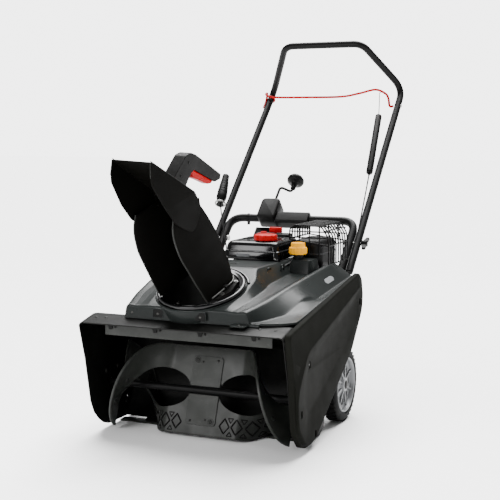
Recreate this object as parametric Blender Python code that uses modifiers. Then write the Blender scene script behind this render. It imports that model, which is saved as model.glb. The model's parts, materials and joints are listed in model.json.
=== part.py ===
"""Single stage snowblower, built from separate named parts.

Everything is modelled in the machine's own frame: +X to the operator's left, the intake
faces -Y, +Z up, y = 0 at the hood's front edge and z = 0 on the ground. One root empty
then puts the origin under the middle of the whole machine. All lengths are in metres.
"""
import math

import bmesh
import bpy
from mathutils import Euler, Matrix, Vector

# ---------------------------------------------------------------- driving dimensions
ORIGIN_X = 0.0030
ORIGIN_Y = 0.52435

GAP = 0.0004
HOUSING_HALF = 0.2815
PLATE = 0.003

AUGER_Y = 0.16
AUGER_Z = 0.1185
AUGER_RADIUS = 0.1165
HOUSING_RADIUS = 0.1245
SHAFT_RADIUS = 0.0095

WHEEL_Y = 0.438
WHEEL_Z = 0.1015
WHEEL_INNER_X = 0.2535
WHEEL_OUTER_X = 0.2985
RIM_RADIUS = 0.0757
AXLE_RADIUS = 0.0064

RING_CENTRE = (0.0, 0.140, 0.392)
RING_TILT = math.radians(19.0)
RING_RADIUS = 0.115
NECK_RADIUS = 0.108
CHUTE_YAW = math.radians(-8.5)
CHUTE_HALF_BASE = 0.073
CHUTE_TAPER = 0.055
CHUTE_HEIGHT = 0.255
DEFLECTOR_HINGE = (0.0, -0.050, 0.240)
DEFLECTOR_HALF = 0.0679

LEG_SLOPE = 1.031
LEG_FOOT_Y = 0.655
LEG_FOOT_Z = 0.383
LOWER_LEG_X = 0.207
LOWER_TUBE = 0.0127
UPPER_LEG_X = 0.2325
UPPER_TUBE = 0.0111
CROSSBAR_Y = 0.797
FOLD_Y = 0.735
BAIL_PIVOT_Y = 1.165
BAIL_WIRE = 0.0032

RAIL_X = 0.1925
RAIL_THICK = 0.003
DECK_Z = 0.234

ENGINE_SHAFT_Y = 0.440
ENGINE_SHAFT_Z = 0.322
PULLEY_X = 0.2920
PULLEY_WIDTH = 0.0130
AUGER_PULLEY_RADIUS = 0.060
ENGINE_PULLEY_RADIUS = 0.022
BELT_WIDTH = 0.0084
BELT_DEPTH = 0.006
IDLER_Y = 0.270
IDLER_Z = 0.288
IDLER_RADIUS = 0.020
IDLER_PIVOT_Y = 0.345
IDLER_PIVOT_Z = 0.318


def leg_z(y):
    """Height of the handle legs' centre line at a depth y."""
    return LEG_FOOT_Z + (y - LEG_FOOT_Y) / LEG_SLOPE


LEG_DIR = Vector((0.0, LEG_SLOPE, 1.0)).normalized()
LEG_UP = Vector((0.0, -LEG_DIR.z, LEG_DIR.y))


# ---------------------------------------------------------------- scene and helpers
def clear_scene():
    for obj in list(bpy.data.objects):
        bpy.data.objects.remove(obj, do_unlink=True)
    for coll in list(bpy.data.collections):
        bpy.data.collections.remove(coll)


clear_scene()
PARTS = bpy.data.collections.new("snowblower")
CUTTERS = bpy.data.collections.new("cutters")
bpy.context.scene.collection.children.link(PARTS)
bpy.context.scene.collection.children.link(CUTTERS)

ROOT = bpy.data.objects.new("snowblower_frame", None)
ROOT.location = (-ORIGIN_X, -ORIGIN_Y, 0.0)
PARTS.objects.link(ROOT)

CHUTE_FRAME = bpy.data.objects.new("chute_axis", None)
CHUTE_FRAME.parent = ROOT
CHUTE_FRAME.location = RING_CENTRE
CHUTE_ROTATION = Matrix.Rotation(RING_TILT, 3, "X") @ Matrix.Rotation(CHUTE_YAW, 3, "Z")
CHUTE_FRAME.rotation_euler = CHUTE_ROTATION.to_euler()
PARTS.objects.link(CHUTE_FRAME)


def material(name, colour, roughness, metallic=0.0):
    mat = bpy.data.materials.new(name)
    mat.use_nodes = True
    shader = mat.node_tree.nodes["Principled BSDF"]
    shader.inputs["Base Color"].default_value = (*colour, 1.0)
    shader.inputs["Roughness"].default_value = roughness
    shader.inputs["Metallic"].default_value = metallic
    return mat


BLACK_STEEL = material("black_painted_steel", (0.025, 0.026, 0.025), 0.42)
GREY_STEEL = material("grey_painted_steel", (0.10, 0.105, 0.10), 0.50)
BARE_STEEL = material("bare_steel", (0.55, 0.56, 0.57), 0.35, 1.0)
ZINC = material("zinc_plated_steel", (0.66, 0.66, 0.64), 0.30, 1.0)
CAST = material("cast_aluminium", (0.42, 0.43, 0.44), 0.50, 1.0)
SHROUD_PLASTIC = material("charcoal_plastic", (0.045, 0.049, 0.049), 0.28)
CHUTE_PLASTIC = material("black_plastic", (0.012, 0.012, 0.011), 0.38)
GLOSS_PLASTIC = material("gloss_black_plastic", (0.008, 0.008, 0.008), 0.12)
RUBBER = material("rubber", (0.030, 0.032, 0.030), 0.60)
TYRE_RUBBER = material("tyre_rubber", (0.016, 0.016, 0.016), 0.75)
RIM_PLASTIC = material("silver_rim", (0.50, 0.51, 0.52), 0.40, 0.5)
RED_PLASTIC = material("red_plastic", (0.62, 0.035, 0.035), 0.35)
RED_PAINT = material("red_painted_wire", (0.36, 0.012, 0.016), 0.35)
YELLOW_PLASTIC = material("yellow_plastic", (0.86, 0.53, 0.06), 0.40)
CORD = material("cord", (0.05, 0.05, 0.05), 0.90)


def add_object(name, data, mat, location=(0.0, 0.0, 0.0), rotation=None, parent=None):
    obj = bpy.data.objects.new(name, data)
    obj.parent = parent or ROOT
    obj.location = location
    if rotation is not None:
        obj.rotation_euler = rotation
    if mat is not None:
        data.materials.append(mat)
    PARTS.objects.link(obj)
    return obj


def finish_mesh(bm, name, smooth_angle=35.0):
    bmesh.ops.recalc_face_normals(bm, faces=bm.faces)
    mesh = bpy.data.meshes.new(name)
    bm.to_mesh(mesh)
    bm.free()
    mesh.shade_smooth()
    mesh.set_sharp_from_angle(angle=math.radians(smooth_angle))
    return mesh


def bevel(obj, width, segments=2, angle=30.0):
    mod = obj.modifiers.new("bevel", "BEVEL")
    mod.width = width
    mod.segments = segments
    mod.limit_method = "ANGLE"
    mod.angle_limit = math.radians(angle)
    return obj


def box(name, low, high, mat, edge=0.0, parent=None, pivot=None, segments=2):
    """A box between two corners; its origin is the pivot, or its own centre."""
    low, high = Vector(low), Vector(high)
    centre = (low + high) / 2.0
    origin = Vector(pivot) if pivot is not None else centre
    bm = bmesh.new()
    bmesh.ops.create_cube(bm, size=1.0)
    bmesh.ops.scale(bm, vec=high - low, verts=bm.verts)
    bmesh.ops.translate(bm, vec=centre - origin, verts=bm.verts)
    obj = add_object(name, finish_mesh(bm, name), mat, origin, parent=parent)
    if edge > 0.0:
        bevel(obj, edge, segments)
    return obj


def axis_matrix(axis):
    """Rotation that turns +Z onto the given direction."""
    return Vector((0.0, 0.0, 1.0)).rotation_difference(Vector(axis)).to_matrix().to_4x4()


def cylinder(name, radius, start, end, mat, sides=28, end_radius=None, parent=None, pivot=None):
    """A cylinder or cone between two points; its origin is the pivot, or its middle."""
    start, end = Vector(start), Vector(end)
    middle = (start + end) / 2.0
    origin = Vector(pivot) if pivot is not None else middle
    bm = bmesh.new()
    top = radius if end_radius is None else end_radius
    bmesh.ops.create_cone(bm, cap_ends=True, segments=sides, radius1=radius, radius2=top,
                          depth=(end - start).length)
    bmesh.ops.transform(bm, matrix=axis_matrix(end - start), verts=bm.verts)
    bmesh.ops.translate(bm, vec=middle - origin, verts=bm.verts)
    return add_object(name, finish_mesh(bm, name), mat, origin, parent=parent)


def lathe(name, profile, location, axis, mat, steps=32, parent=None):
    """Turn a closed (radius, height) outline about the axis through the location.

    The outline starts at its outer top and runs down the outer side.
    """
    mesh = bpy.data.meshes.new(name)
    count = len(profile)
    edges = [(i, (i + 1) % count) for i in range(count)]
    mesh.from_pydata([(r, 0.0, h) for r, h in profile], edges, [])
    rotation = axis_matrix(axis).to_euler()
    obj = add_object(name, mesh, mat, location, rotation, parent)
    mod = obj.modifiers.new("screw", "SCREW")
    mod.steps = steps
    mod.render_steps = steps
    mod.use_merge_vertices = True
    mod.merge_threshold = 0.00005
    mod.use_smooth_shade = True
    return obj


def to_mesh(obj, split=False):
    """Replace an object by its evaluated mesh, welded and with outward normals.

    With split, faces with many corners are divided into triangles.
    """
    bpy.context.view_layer.update()
    graph = bpy.context.evaluated_depsgraph_get()
    mesh = bpy.data.meshes.new_from_object(obj.evaluated_get(graph), depsgraph=graph)
    bm = bmesh.new()
    bm.from_mesh(mesh)
    bmesh.ops.remove_doubles(bm, verts=bm.verts, dist=0.00001)
    bmesh.ops.recalc_face_normals(bm, faces=bm.faces)
    if split:
        bmesh.ops.triangulate(bm, faces=[f for f in bm.faces if len(f.verts) > 4])
    bm.to_mesh(mesh)
    bm.free()
    name = obj.name
    parent = obj.parent
    local = obj.matrix_local.copy()
    bpy.data.objects.remove(obj, do_unlink=True)
    mesh.name = name
    new = bpy.data.objects.new(name, mesh)
    new.parent = parent
    new.matrix_local = local
    PARTS.objects.link(new)
    return new


def outline(name, points, low_x, high_x, mat, parent=None, pivot=(0.0, 0.0)):
    """A flat (y, z) outline extruded along X; its origin is the pivot in (y, z)."""
    curve = bpy.data.curves.new(name, "CURVE")
    curve.dimensions = "2D"
    curve.fill_mode = "BOTH"
    curve.extrude = (high_x - low_x) / 2.0
    spline = curve.splines.new("POLY")
    spline.points.add(len(points) - 1)
    for point, (y, z) in zip(spline.points, points):
        point.co = (y - pivot[0], z - pivot[1], 0.0, 1.0)
    spline.use_cyclic_u = True
    turn = Euler((math.radians(90.0), 0.0, math.radians(90.0)))
    place = ((low_x + high_x) / 2.0, pivot[0], pivot[1])
    return to_mesh(add_object(name, curve, mat, place, turn, parent))


def tube(name, path, radius, mat, rounding=3, parent=None, pivot=(0.0, 0.0, 0.0)):
    """A round bar along a list of points, with closed ends."""
    curve = bpy.data.curves.new(name, "CURVE")
    curve.dimensions = "3D"
    curve.bevel_depth = radius
    curve.bevel_resolution = rounding
    curve.use_fill_caps = True
    spline = curve.splines.new("POLY")
    spline.points.add(len(path) - 1)
    for point, place in zip(spline.points, path):
        point.co = (*(Vector(place) - Vector(pivot)), 1.0)
    return to_mesh(add_object(name, curve, mat, pivot, parent=parent))


def rounded(points, radius, steps=5):
    """The same path with each inner corner replaced by an arc."""
    points = [Vector(p) for p in points]
    path = [points[0]]
    for before, corner, after in zip(points, points[1:], points[2:]):
        into = (before - corner).normalized()
        out = (after - corner).normalized()
        half = into.angle(out) / 2.0
        reach = min(radius / math.tan(half), (before - corner).length * 0.49,
                    (after - corner).length * 0.49)
        middle = corner + (into + out).normalized() * reach / math.cos(half)
        first = corner + into * reach - middle
        last = corner + out * reach - middle
        turn = first.angle(last)
        for k in range(steps + 1):
            t = k / steps
            arm = (first * math.sin((1.0 - t) * turn) + last * math.sin(t * turn)) / math.sin(turn)
            path.append(middle + arm)
    path.append(points[-1])
    return path


def smooth_path(points, steps=5):
    """A Catmull-Rom curve through the points."""
    points = [Vector(p) for p in points]
    ends = [points[0] * 2.0 - points[1]] + points + [points[-1] * 2.0 - points[-2]]
    path = []
    for a, b, c, d in zip(ends, ends[1:], ends[2:], ends[3:]):
        for k in range(steps):
            t = k / steps
            path.append(0.5 * (2.0 * b + (c - a) * t + (2.0 * a - 5.0 * b + 4.0 * c - d) * t * t
                               + (3.0 * b - a - 3.0 * c + d) * t ** 3))
    path.append(points[-1])
    return path


def arc(centre, radius, start, end, steps):
    """Points on an arc in the (y, z) plane; angles in degrees from +y towards +z."""
    points = []
    for k in range(steps + 1):
        angle = math.radians(start + (end - start) * k / steps)
        points.append((centre[0] + radius * math.cos(angle), centre[1] + radius * math.sin(angle)))
    return points


def offset(points, distance, closed):
    """Move a (y, z) line sideways by a distance, to the right of its direction."""
    count = len(points)
    moved = []
    for i, (y, z) in enumerate(points):
        before = points[i - 1] if (i > 0 or closed) else None
        after = points[(i + 1) % count] if (i < count - 1 or closed) else None
        sides = []
        if before is not None:
            sides.append(Vector((z - before[1], before[0] - y)).normalized())
        if after is not None:
            sides.append(Vector((after[1] - z, y - after[0])).normalized())
        mean = sum(sides, Vector((0.0, 0.0))) / len(sides)
        shift = mean / mean.length_squared * distance
        moved.append((y + shift.x, z + shift.y))
    return moved


def boolean(target, tool, operation):
    """Cut or join with a hidden helper object."""
    for coll in list(tool.users_collection):
        coll.objects.unlink(tool)
    CUTTERS.objects.link(tool)
    tool.name = "tool_" + target.name
    tool.hide_render = True
    tool.display_type = "WIRE"
    mod = target.modifiers.new(operation.lower(), "BOOLEAN")
    mod.object = tool
    mod.operation = operation
    mod.solver = "EXACT"
    return target


def cut(target, tool):
    return boolean(target, tool, "DIFFERENCE")


def join(target, tool):
    return boolean(target, tool, "UNION")


def mirrored(points):
    """The same points with the other half of a left-right pair added."""
    return list(points) + [(-x, y, z) for x, y, z in reversed(points)]


# ---------------------------------------------------------------- housing and scraper
HOUSING_LINE = [(0.0, 0.308), (0.064, 0.322), (0.078, 0.321), (0.130, 0.300), (0.205, 0.276),
                (0.256, 0.230)] + arc((AUGER_Y, AUGER_Z), HOUSING_RADIUS, 15.0, -60.0, 8)
SIDE_OUTLINE = [(0.0, 0.308), (0.064, 0.322), (0.078, 0.321), (0.130, 0.300), (0.205, 0.276),
                (0.256, 0.230), (0.300, 0.215), (0.300, 0.020), (0.280, 0.004), (0.139, 0.007),
                (0.113, 0.016), (0.092, 0.030), (0.067, 0.055), (0.050, 0.090), (0.027, 0.206),
                (0.0, 0.300)]


def ring_point(x, y, z):
    """A point given in the chute ring's tilted frame, in the machine's frame."""
    return Vector(RING_CENTRE) + Matrix.Rotation(RING_TILT, 3, "X") @ Vector((x, y, z))


def auger_housing():
    inside = offset(HOUSING_LINE, PLATE, closed=False)
    shell = outline("auger_housing", HOUSING_LINE + inside[::-1], -HOUSING_HALF + 0.001,
                    HOUSING_HALF - 0.001, BLACK_STEEL)
    neck = cylinder("neck", NECK_RADIUS, ring_point(0.0, 0.0, -0.150),
                    ring_point(0.0, 0.0, -0.0050), None, sides=40)
    below = outline("below", inside + [(0.0, 0.02)], -0.27, 0.27, None)
    cut(neck, below)
    join(shell, to_mesh(neck))
    bore = cylinder("bore", NECK_RADIUS - PLATE, ring_point(0.0, 0.0, -0.150),
                    ring_point(0.0, 0.0, 0.02), None, sides=40)
    cut(shell, bore)
    for side in (-1.0, 1.0):
        xs = sorted((side * HOUSING_HALF, side * (HOUSING_HALF - PLATE)))
        join(shell, outline("side", SIDE_OUTLINE, xs[0], xs[1], None))
        hole_from = (side * 0.27, AUGER_Y, AUGER_Z)
        hole_to = (side * 0.29, AUGER_Y, AUGER_Z)
        cut(shell, cylinder("hole", 0.0125, hole_from, hole_to, None, sides=20))
    return to_mesh(shell, split=True)


def scraper_bar():
    low = (-0.2780, 0.1960, 0.0)
    high = (0.2780, 0.2255, 0.0048)
    return box("scraper_bar", low, high, GREY_STEEL, edge=0.0012, segments=1)


def intake_lip():
    return box("intake_lip", (-0.233, 0.050, 0.268), (0.233, 0.0528, 0.3145), GREY_STEEL)


# ---------------------------------------------------------------- frame, axle, wheels
def chassis_frame():
    rail = [(0.2885, 0.050), (0.360, 0.050), (0.460, 0.066), (0.600, 0.235), (0.668, 0.325),
            (0.668, 0.352), (0.640, 0.352), (0.520, 0.296), (0.400, 0.262), (0.2885, 0.262)]
    base = box("chassis_frame", (-RAIL_X, 0.2885, DECK_Z - 0.002), (RAIL_X, 0.650, DECK_Z + 0.002),
               BLACK_STEEL)
    join(base, box("front", (-RAIL_X, 0.2885, 0.060), (RAIL_X, 0.2915, 0.260), None))
    for side in (-1.0, 1.0):
        xs = sorted((side * (RAIL_X - RAIL_THICK), side * RAIL_X))
        join(base, outline("rail", rail, xs[0], xs[1], None))
        cut(base, cylinder("axle_hole", AXLE_RADIUS + 0.0006, (side * 0.17, WHEEL_Y, WHEEL_Z),
                           (side * 0.22, WHEEL_Y, WHEEL_Z), None, sides=16))
    return to_mesh(base)


def axle():
    end = WHEEL_OUTER_X - 0.0015
    return cylinder("axle", AXLE_RADIUS, (-end, WHEEL_Y, WHEEL_Z), (end, WHEEL_Y, WHEEL_Z), ZINC,
                    sides=16)


def wheel(side_name, side):
    """Tyre and rim of one wheel, turned about the axle."""
    width = WHEEL_OUTER_X - WHEEL_INNER_X
    centre = (side * (WHEEL_INNER_X + width / 2.0), WHEEL_Y, WHEEL_Z)
    h = width / 2.0
    r = WHEEL_Z
    tyre = [(r - 0.006, h), (r, h - 0.007), (r, -h + 0.007), (r - 0.006, -h),
            (RIM_RADIUS + GAP, -h), (RIM_RADIUS + GAP, h)]
    lathe(side_name + "_tyre", tyre, centre, (side, 0.0, 0.0), TYRE_RUBBER, steps=32)
    rim = [(RIM_RADIUS, h), (RIM_RADIUS, -h), (RIM_RADIUS - 0.007, -h), (RIM_RADIUS - 0.010, 0.002),
           (0.022, 0.004), (0.018, -h + 0.004), (AXLE_RADIUS + GAP, -h + 0.004),
           (AXLE_RADIUS + GAP, h - 0.004), (0.018, h - 0.004), (0.022, 0.010),
           (RIM_RADIUS - 0.010, 0.008), (RIM_RADIUS - 0.006, h)]
    lathe(side_name + "_rim", rim, centre, (side, 0.0, 0.0), RIM_PLASTIC, steps=20)


# ---------------------------------------------------------------- auger
def auger_shaft():
    return cylinder("auger_shaft", SHAFT_RADIUS, (-0.2875, AUGER_Y, AUGER_Z),
                    (PULLEY_X + PULLEY_WIDTH / 2.0, AUGER_Y, AUGER_Z), BLACK_STEEL, sides=20)


def paddle_angle(x, start):
    """The paddle is straight in the middle and sweeps half a turn towards each end."""
    reach = max(0.0, abs(x) - 0.135) / 0.107
    return start + math.radians(180.0) * min(1.0, reach) ** 1.15


def paddle_inner(x):
    """Inner edge: open lens between blade and shaft on each side of the centre plates."""
    span = (abs(x) - 0.045) / 0.190
    if span <= 0.0:
        return 0.034
    return 0.0135 + (0.052 - 0.0135) * math.sin(math.pi * min(1.0, span ** 0.8)) ** 0.7


def auger_paddle(name, start_deg):
    """A rubber blade: a ruled sheet between its inner and outer edge, given a thickness."""
    stations = [-0.242 + 0.484 * i / 36 for i in range(37)]
    bm = bmesh.new()
    rows = []
    for x in stations:
        angle = paddle_angle(x, math.radians(start_deg))
        low = paddle_inner(x)
        row = []
        for k in range(4):
            radius = low + (AUGER_RADIUS - low) * k / 3.0
            row.append(bm.verts.new((x, radius * math.cos(angle), radius * math.sin(angle))))
        rows.append(row)
    for first, second in zip(rows, rows[1:]):
        for k in range(3):
            bm.faces.new((first[k], second[k], second[k + 1], first[k + 1]))
    obj = add_object(name, finish_mesh(bm, name), RUBBER, (0.0, AUGER_Y, AUGER_Z))
    mod = obj.modifiers.new("thickness", "SOLIDIFY")
    mod.thickness = 0.005
    mod.offset = 0.0
    mod.use_even_offset = False
    return obj


def auger_plate(name, angle_deg, side):
    """A flat steel plate bolted to one face of a blade, from the shaft outwards."""
    plate = box(name, (-0.043, 0.0029, 0.0100), (0.043, 0.0059, 0.090), GREY_STEEL,
                pivot=(0.0, 0.0, 0.0))
    plate.data.transform(Matrix.Scale(side, 4, Vector((0.0, 1.0, 0.0))))
    if side < 0.0:
        plate.data.flip_normals()
    plate.data.transform(Matrix.Rotation(math.radians(angle_deg - 90.0), 4, "X"))
    plate.location = (0.0, AUGER_Y, AUGER_Z)
    return plate


def bearing(name, side):
    """Flanged bush on the outside of a side plate."""
    start = HOUSING_HALF + GAP
    profile = [(0.026, 0.0028), (0.026, 0.0), (SHAFT_RADIUS + GAP, 0.0), (SHAFT_RADIUS + GAP, 0.0028)]
    place = (side * start, AUGER_Y, AUGER_Z)
    return lathe(name, profile, place, (side, 0.0, 0.0), CHUTE_PLASTIC, steps=16)


# ---------------------------------------------------------------- belt drive
def pulley(name, radius, bore, y, z, mat):
    """V pulley with its groove in the middle of its width."""
    h = PULLEY_WIDTH / 2.0
    floor = radius - BELT_DEPTH
    profile = [(radius, h), (radius, h - 0.0014), (floor, h - 0.0018), (floor, -h + 0.0018),
               (radius, -h + 0.0014), (radius, -h), (bore, -h), (bore, h)]
    return lathe(name, profile, (PULLEY_X, y, z), (1.0, 0.0, 0.0), mat, steps=24)


def belt_outline(r1, r2):
    """Outer tangents and arcs round the auger pulley (r1) and engine pulley (r2)."""
    first = Vector((AUGER_Y, AUGER_Z))
    second = Vector((ENGINE_SHAFT_Y, ENGINE_SHAFT_Z))
    along = second - first
    base = math.degrees(math.atan2(along.y, along.x))
    lean = math.degrees(math.acos((r1 - r2) / along.length))
    big = arc(first, r1, base + lean, base + 360.0 - lean, 20)
    small = arc(second, r2, base - lean, base + lean, 10)
    return big + small


def drive_belt():
    outer = belt_outline(AUGER_PULLEY_RADIUS + 0.0008, ENGINE_PULLEY_RADIUS + 0.0008)
    inner = belt_outline(AUGER_PULLEY_RADIUS - BELT_DEPTH + 0.0013,
                         ENGINE_PULLEY_RADIUS - BELT_DEPTH + 0.0013)
    x0 = PULLEY_X - BELT_WIDTH / 2.0
    x1 = PULLEY_X + BELT_WIDTH / 2.0
    belt = outline("drive_belt", outer, x0, x1, RUBBER)
    cut(belt, outline("inside", inner, x0 - 0.002, x1 + 0.002, None))
    return to_mesh(belt)


def idler():
    pivot = (IDLER_PIVOT_Y, IDLER_PIVOT_Z)
    x0 = PULLEY_X + 0.0004
    arm = [(0.352, 0.323), (0.351, 0.312), (0.273, 0.281), (0.264, 0.284), (0.264, 0.292),
           (0.343, 0.325)]
    outline("idler_arm", arm, x0 + 0.0030, x0 + 0.0058, ZINC, pivot=pivot)
    profile = [(IDLER_RADIUS, 0.0046), (IDLER_RADIUS, -0.0046), (0.004, -0.0046), (0.004, 0.0046)]
    lathe("idler_pulley", profile, (PULLEY_X - 0.0017, IDLER_Y, IDLER_Z), (1.0, 0.0, 0.0), ZINC,
          steps=16)


COVER_OUTLINE = [(0.0, 0.313), (0.552, 0.397), (0.581, 0.373), (0.575, 0.288), (0.484, 0.187),
                 (0.188, 0.014), (0.120, 0.010), (0.085, 0.022), (0.043, 0.066), (0.028, 0.204)]


def belt_cover():
    """Shallow pan over the belt drive, notched where it passes over the wheel."""
    cover = outline("belt_cover", COVER_OUTLINE, 0.2822, 0.3045, SHROUD_PLASTIC)
    cut(cover, outline("pocket", offset(COVER_OUTLINE, 0.003, closed=True), 0.27, 0.3015, None))
    cut(cover, cylinder("wheel_room", WHEEL_Z + 0.005, (0.25, WHEEL_Y, WHEEL_Z),
                        (WHEEL_OUTER_X + 0.0015, WHEEL_Y, WHEEL_Z), None, sides=40))
    return to_mesh(cover, split=True)


def right_side_cover():
    """Plain panel above the other wheel."""
    shape = [(0.303, 0.222), (0.303, 0.318), (0.420, 0.345), (0.552, 0.368), (0.574, 0.352),
             (0.568, 0.285), (0.520, 0.222)]
    return outline("right_side_cover", shape, -0.2815, -0.2785, SHROUD_PLASTIC)


# ---------------------------------------------------------------- body shroud
def along(y, stations):
    """Straight-line value at a depth y from (y, value) stations."""
    for (y0, v0), (y1, v1) in zip(stations, stations[1:]):
        if y <= y1:
            return v0 + (v1 - v0) * (y - y0) / (y1 - y0)
    return stations[-1][1]


PLATFORM_Z = [(0.047, 0.3525), (0.275, 0.4300), (0.42, 0.4330), (0.56, 0.4330)]
PLATFORM_X = [(0.047, 0.110), (0.20, 0.122), (0.30, 0.110), (0.42, 0.100), (0.56, 0.120)]
RIDGE_X = [(0.047, 0.164), (0.136, 0.187), (0.234, 0.201), (0.42, 0.216), (0.56, 0.232)]
RIDGE_Z = [(0.047, 0.3545), (0.136, 0.372), (0.234, 0.391), (0.42, 0.417), (0.50, 0.430),
           (0.56, 0.408)]
SHOULDER_X = [(0.047, 0.168), (0.075, 0.200), (0.14, 0.236), (0.30, 0.262), (0.56, 0.272)]
SHOULDER_Z = [(0.047, 0.3255), (0.14, 0.337), (0.30, 0.358), (0.56, 0.390)]
LEFT_X = [(0.047, 0.168), (0.10, 0.190), (0.20, 0.222), (0.30, 0.2765), (0.56, 0.2765)]
LEFT_Z = [(0.047, 0.3265), (0.075, 0.3265), (0.10, 0.3200), (0.20, 0.296), (0.30, 0.318),
          (0.42, 0.345), (0.56, 0.370)]


def shroud_section(y):
    """Cross-section of the shroud from one lower edge over the top to the other."""
    top = along(y, PLATFORM_Z)
    px = along(y, PLATFORM_X)
    rx, rz = along(y, RIDGE_X), along(y, RIDGE_Z)
    sx, sz = along(y, SHOULDER_X), along(y, SHOULDER_Z)
    lx, lz = along(y, LEFT_X), along(y, LEFT_Z)
    groove = min(rz - 0.004, top - 0.002)
    points = [(-lx - 0.001, lz - 0.003), (-lx, lz), (-rx, rz), (-rx + 0.022, groove),
              (-px, top), (px, top), (rx - 0.022, groove), (rx, rz), (sx, sz),
              (sx + 0.0085, sz + 0.0005), (sx + 0.0092, sz - 0.004)]
    return [Vector((x, y, z)) for x, z in points]


def body_shroud():
    """Moulded hood: a loft of cross-sections with a folded-down front wall."""
    depths = [0.047, 0.075, 0.105, 0.14, 0.20, 0.24, 0.275, 0.30, 0.36, 0.42, 0.50, 0.56]
    sections = [shroud_section(y) for y in depths]
    front = [Vector((p.x, p.y - 0.0005, min(p.z, 0.3200))) for p in sections[0]]
    bm = bmesh.new()
    rows = [[bm.verts.new(p) for p in section] for section in [front] + sections]
    for first, second in zip(rows, rows[1:]):
        for k in range(len(first) - 1):
            bm.faces.new((first[k], first[k + 1], second[k + 1], second[k]))
    obj = add_object("body_shroud", finish_mesh(bm, "body_shroud"), SHROUD_PLASTIC)
    mod = obj.modifiers.new("thickness", "SOLIDIFY")
    mod.thickness = 0.0022
    mod.offset = -1.0
    mod.use_even_offset = False
    cut(obj, cylinder("chute_hole", NECK_RADIUS + 0.004, ring_point(0.0, 0.0, -0.10),
                      ring_point(0.0, 0.0, 0.05), None, sides=40))
    cut(obj, box("engine_room", (-0.100, 0.445, 0.30), (0.130, 0.60, 0.50), None))
    cut(obj, box("muffler_room", (0.090, 0.486, 0.30), (0.2265, 0.61, 0.50), None))
    x, y = OIL_FILL
    cut(obj, cylinder("oil_hole", 0.0165, (x, y, 0.35), (x, y, 0.50), None, sides=20))
    return to_mesh(obj)


# ---------------------------------------------------------------- chute
def chute_ring():
    profile = [(RING_RADIUS, 0.0025), (RING_RADIUS, -0.0035), (0.100, -0.0035), (0.100, 0.0060),
               (0.111, 0.0060)]
    return lathe("chute_ring", profile, (0.0, 0.0, 0.0), (0.0, 0.0, 1.0), GLOSS_PLASTIC, steps=48,
                 parent=CHUTE_FRAME)


def chute_half(height):
    return CHUTE_HALF_BASE - CHUTE_TAPER * height


def chute_back(height):
    return 0.055 - 1.19 * height * height


CHUTE_FRONT = [(0.0, -0.076), (0.07, -0.109), (0.16, -0.146), (0.205, -0.153), (0.235, -0.150),
               (0.255, -0.136)]


def chute():
    """U-shaped chute, open to the front, leaning forward with height."""
    bm = bmesh.new()
    rows = []
    for height in (0.0066, 0.035, 0.07, 0.105, 0.14, 0.175, 0.205, 0.235, CHUTE_HEIGHT):
        half = chute_half(height)
        back = chute_back(height)
        front = along(height, CHUTE_FRONT)
        corner = 0.010
        line = [(half, front), (half, (front + back) / 2.0), (half, back - corner),
                (half - 0.3 * corner, back - 0.3 * corner), (half - corner, back)]
        line += [(-x, y) for x, y in reversed(line)]
        rows.append([bm.verts.new((x, y, height)) for x, y in line])
    for first, second in zip(rows, rows[1:]):
        for k in range(len(first) - 1):
            bm.faces.new((first[k], first[k + 1], second[k + 1], second[k]))
    obj = add_object("chute", finish_mesh(bm, "chute"), CHUTE_PLASTIC, parent=CHUTE_FRAME)
    mod = obj.modifiers.new("thickness", "SOLIDIFY")
    mod.thickness = 0.0035
    mod.offset = 0.0
    mod.use_even_offset = True
    room = cylinder("pin_room", 0.0046, (-0.09, *DEFLECTOR_HINGE[1:]), (0.09, *DEFLECTOR_HINGE[1:]),
                    None, sides=16, parent=CHUTE_FRAME)
    cut(obj, room)
    return to_mesh(obj)


# (y, z) in the chute's frame, round the deflector's side plate
DEFLECTOR_SIDE = [(-0.169, 0.398), (-0.042, 0.285), (-0.034, 0.262), (-0.046, 0.232),
                  (-0.072, 0.203), (-0.090, 0.203), (-0.113, 0.221), (-0.137, 0.245),
                  (-0.162, 0.296), (-0.187, 0.363), (-0.185, 0.383)]


def deflector():
    """Inverted channel: two side plates under a sloping top plate."""
    pivot = DEFLECTOR_HINGE
    hinge = pivot[1:]
    outer = outline("deflector", DEFLECTOR_SIDE, -DEFLECTOR_HALF, DEFLECTOR_HALF, CHUTE_PLASTIC,
                    parent=CHUTE_FRAME, pivot=hinge)
    below = [(-0.1705, 0.3945), (-0.045, 0.2825), (-0.02, 0.262), (-0.02, 0.15), (-0.25, 0.15),
             (-0.25, 0.3945)]
    inner_half = DEFLECTOR_HALF - 0.0027
    room = outline("room", below, -inner_half, inner_half, None, parent=CHUTE_FRAME, pivot=hinge)
    cut(outer, room)
    for side in (-1.0, 1.0):
        pin = cylinder("pin", 0.0040, (side * 0.0550, *hinge), (side * 0.0705, *hinge), None,
                       sides=16, parent=CHUTE_FRAME)
        join(outer, pin)
    return to_mesh(outer)


GRIP_OUTLINE = [(-0.075, 0.3165), (0.005, 0.361), (0.027, 0.3595), (0.045, 0.348), (0.138, 0.262),
                (0.133, 0.251), (0.108, 0.252), (0.026, 0.316), (0.004, 0.304), (-0.018, 0.288),
                (-0.033, 0.2795)]
TRIGGER_OUTLINE = [(0.022, 0.311), (0.028, 0.293), (0.052, 0.278), (0.086, 0.254), (0.102, 0.250),
                   (0.110, 0.256), (0.108, 0.2615), (0.032, 0.314)]
TRIGGER_SLOT = [(0.016, 0.278), (0.024, 0.328), (0.038, 0.331), (0.120, 0.271), (0.118, 0.233)]


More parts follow.
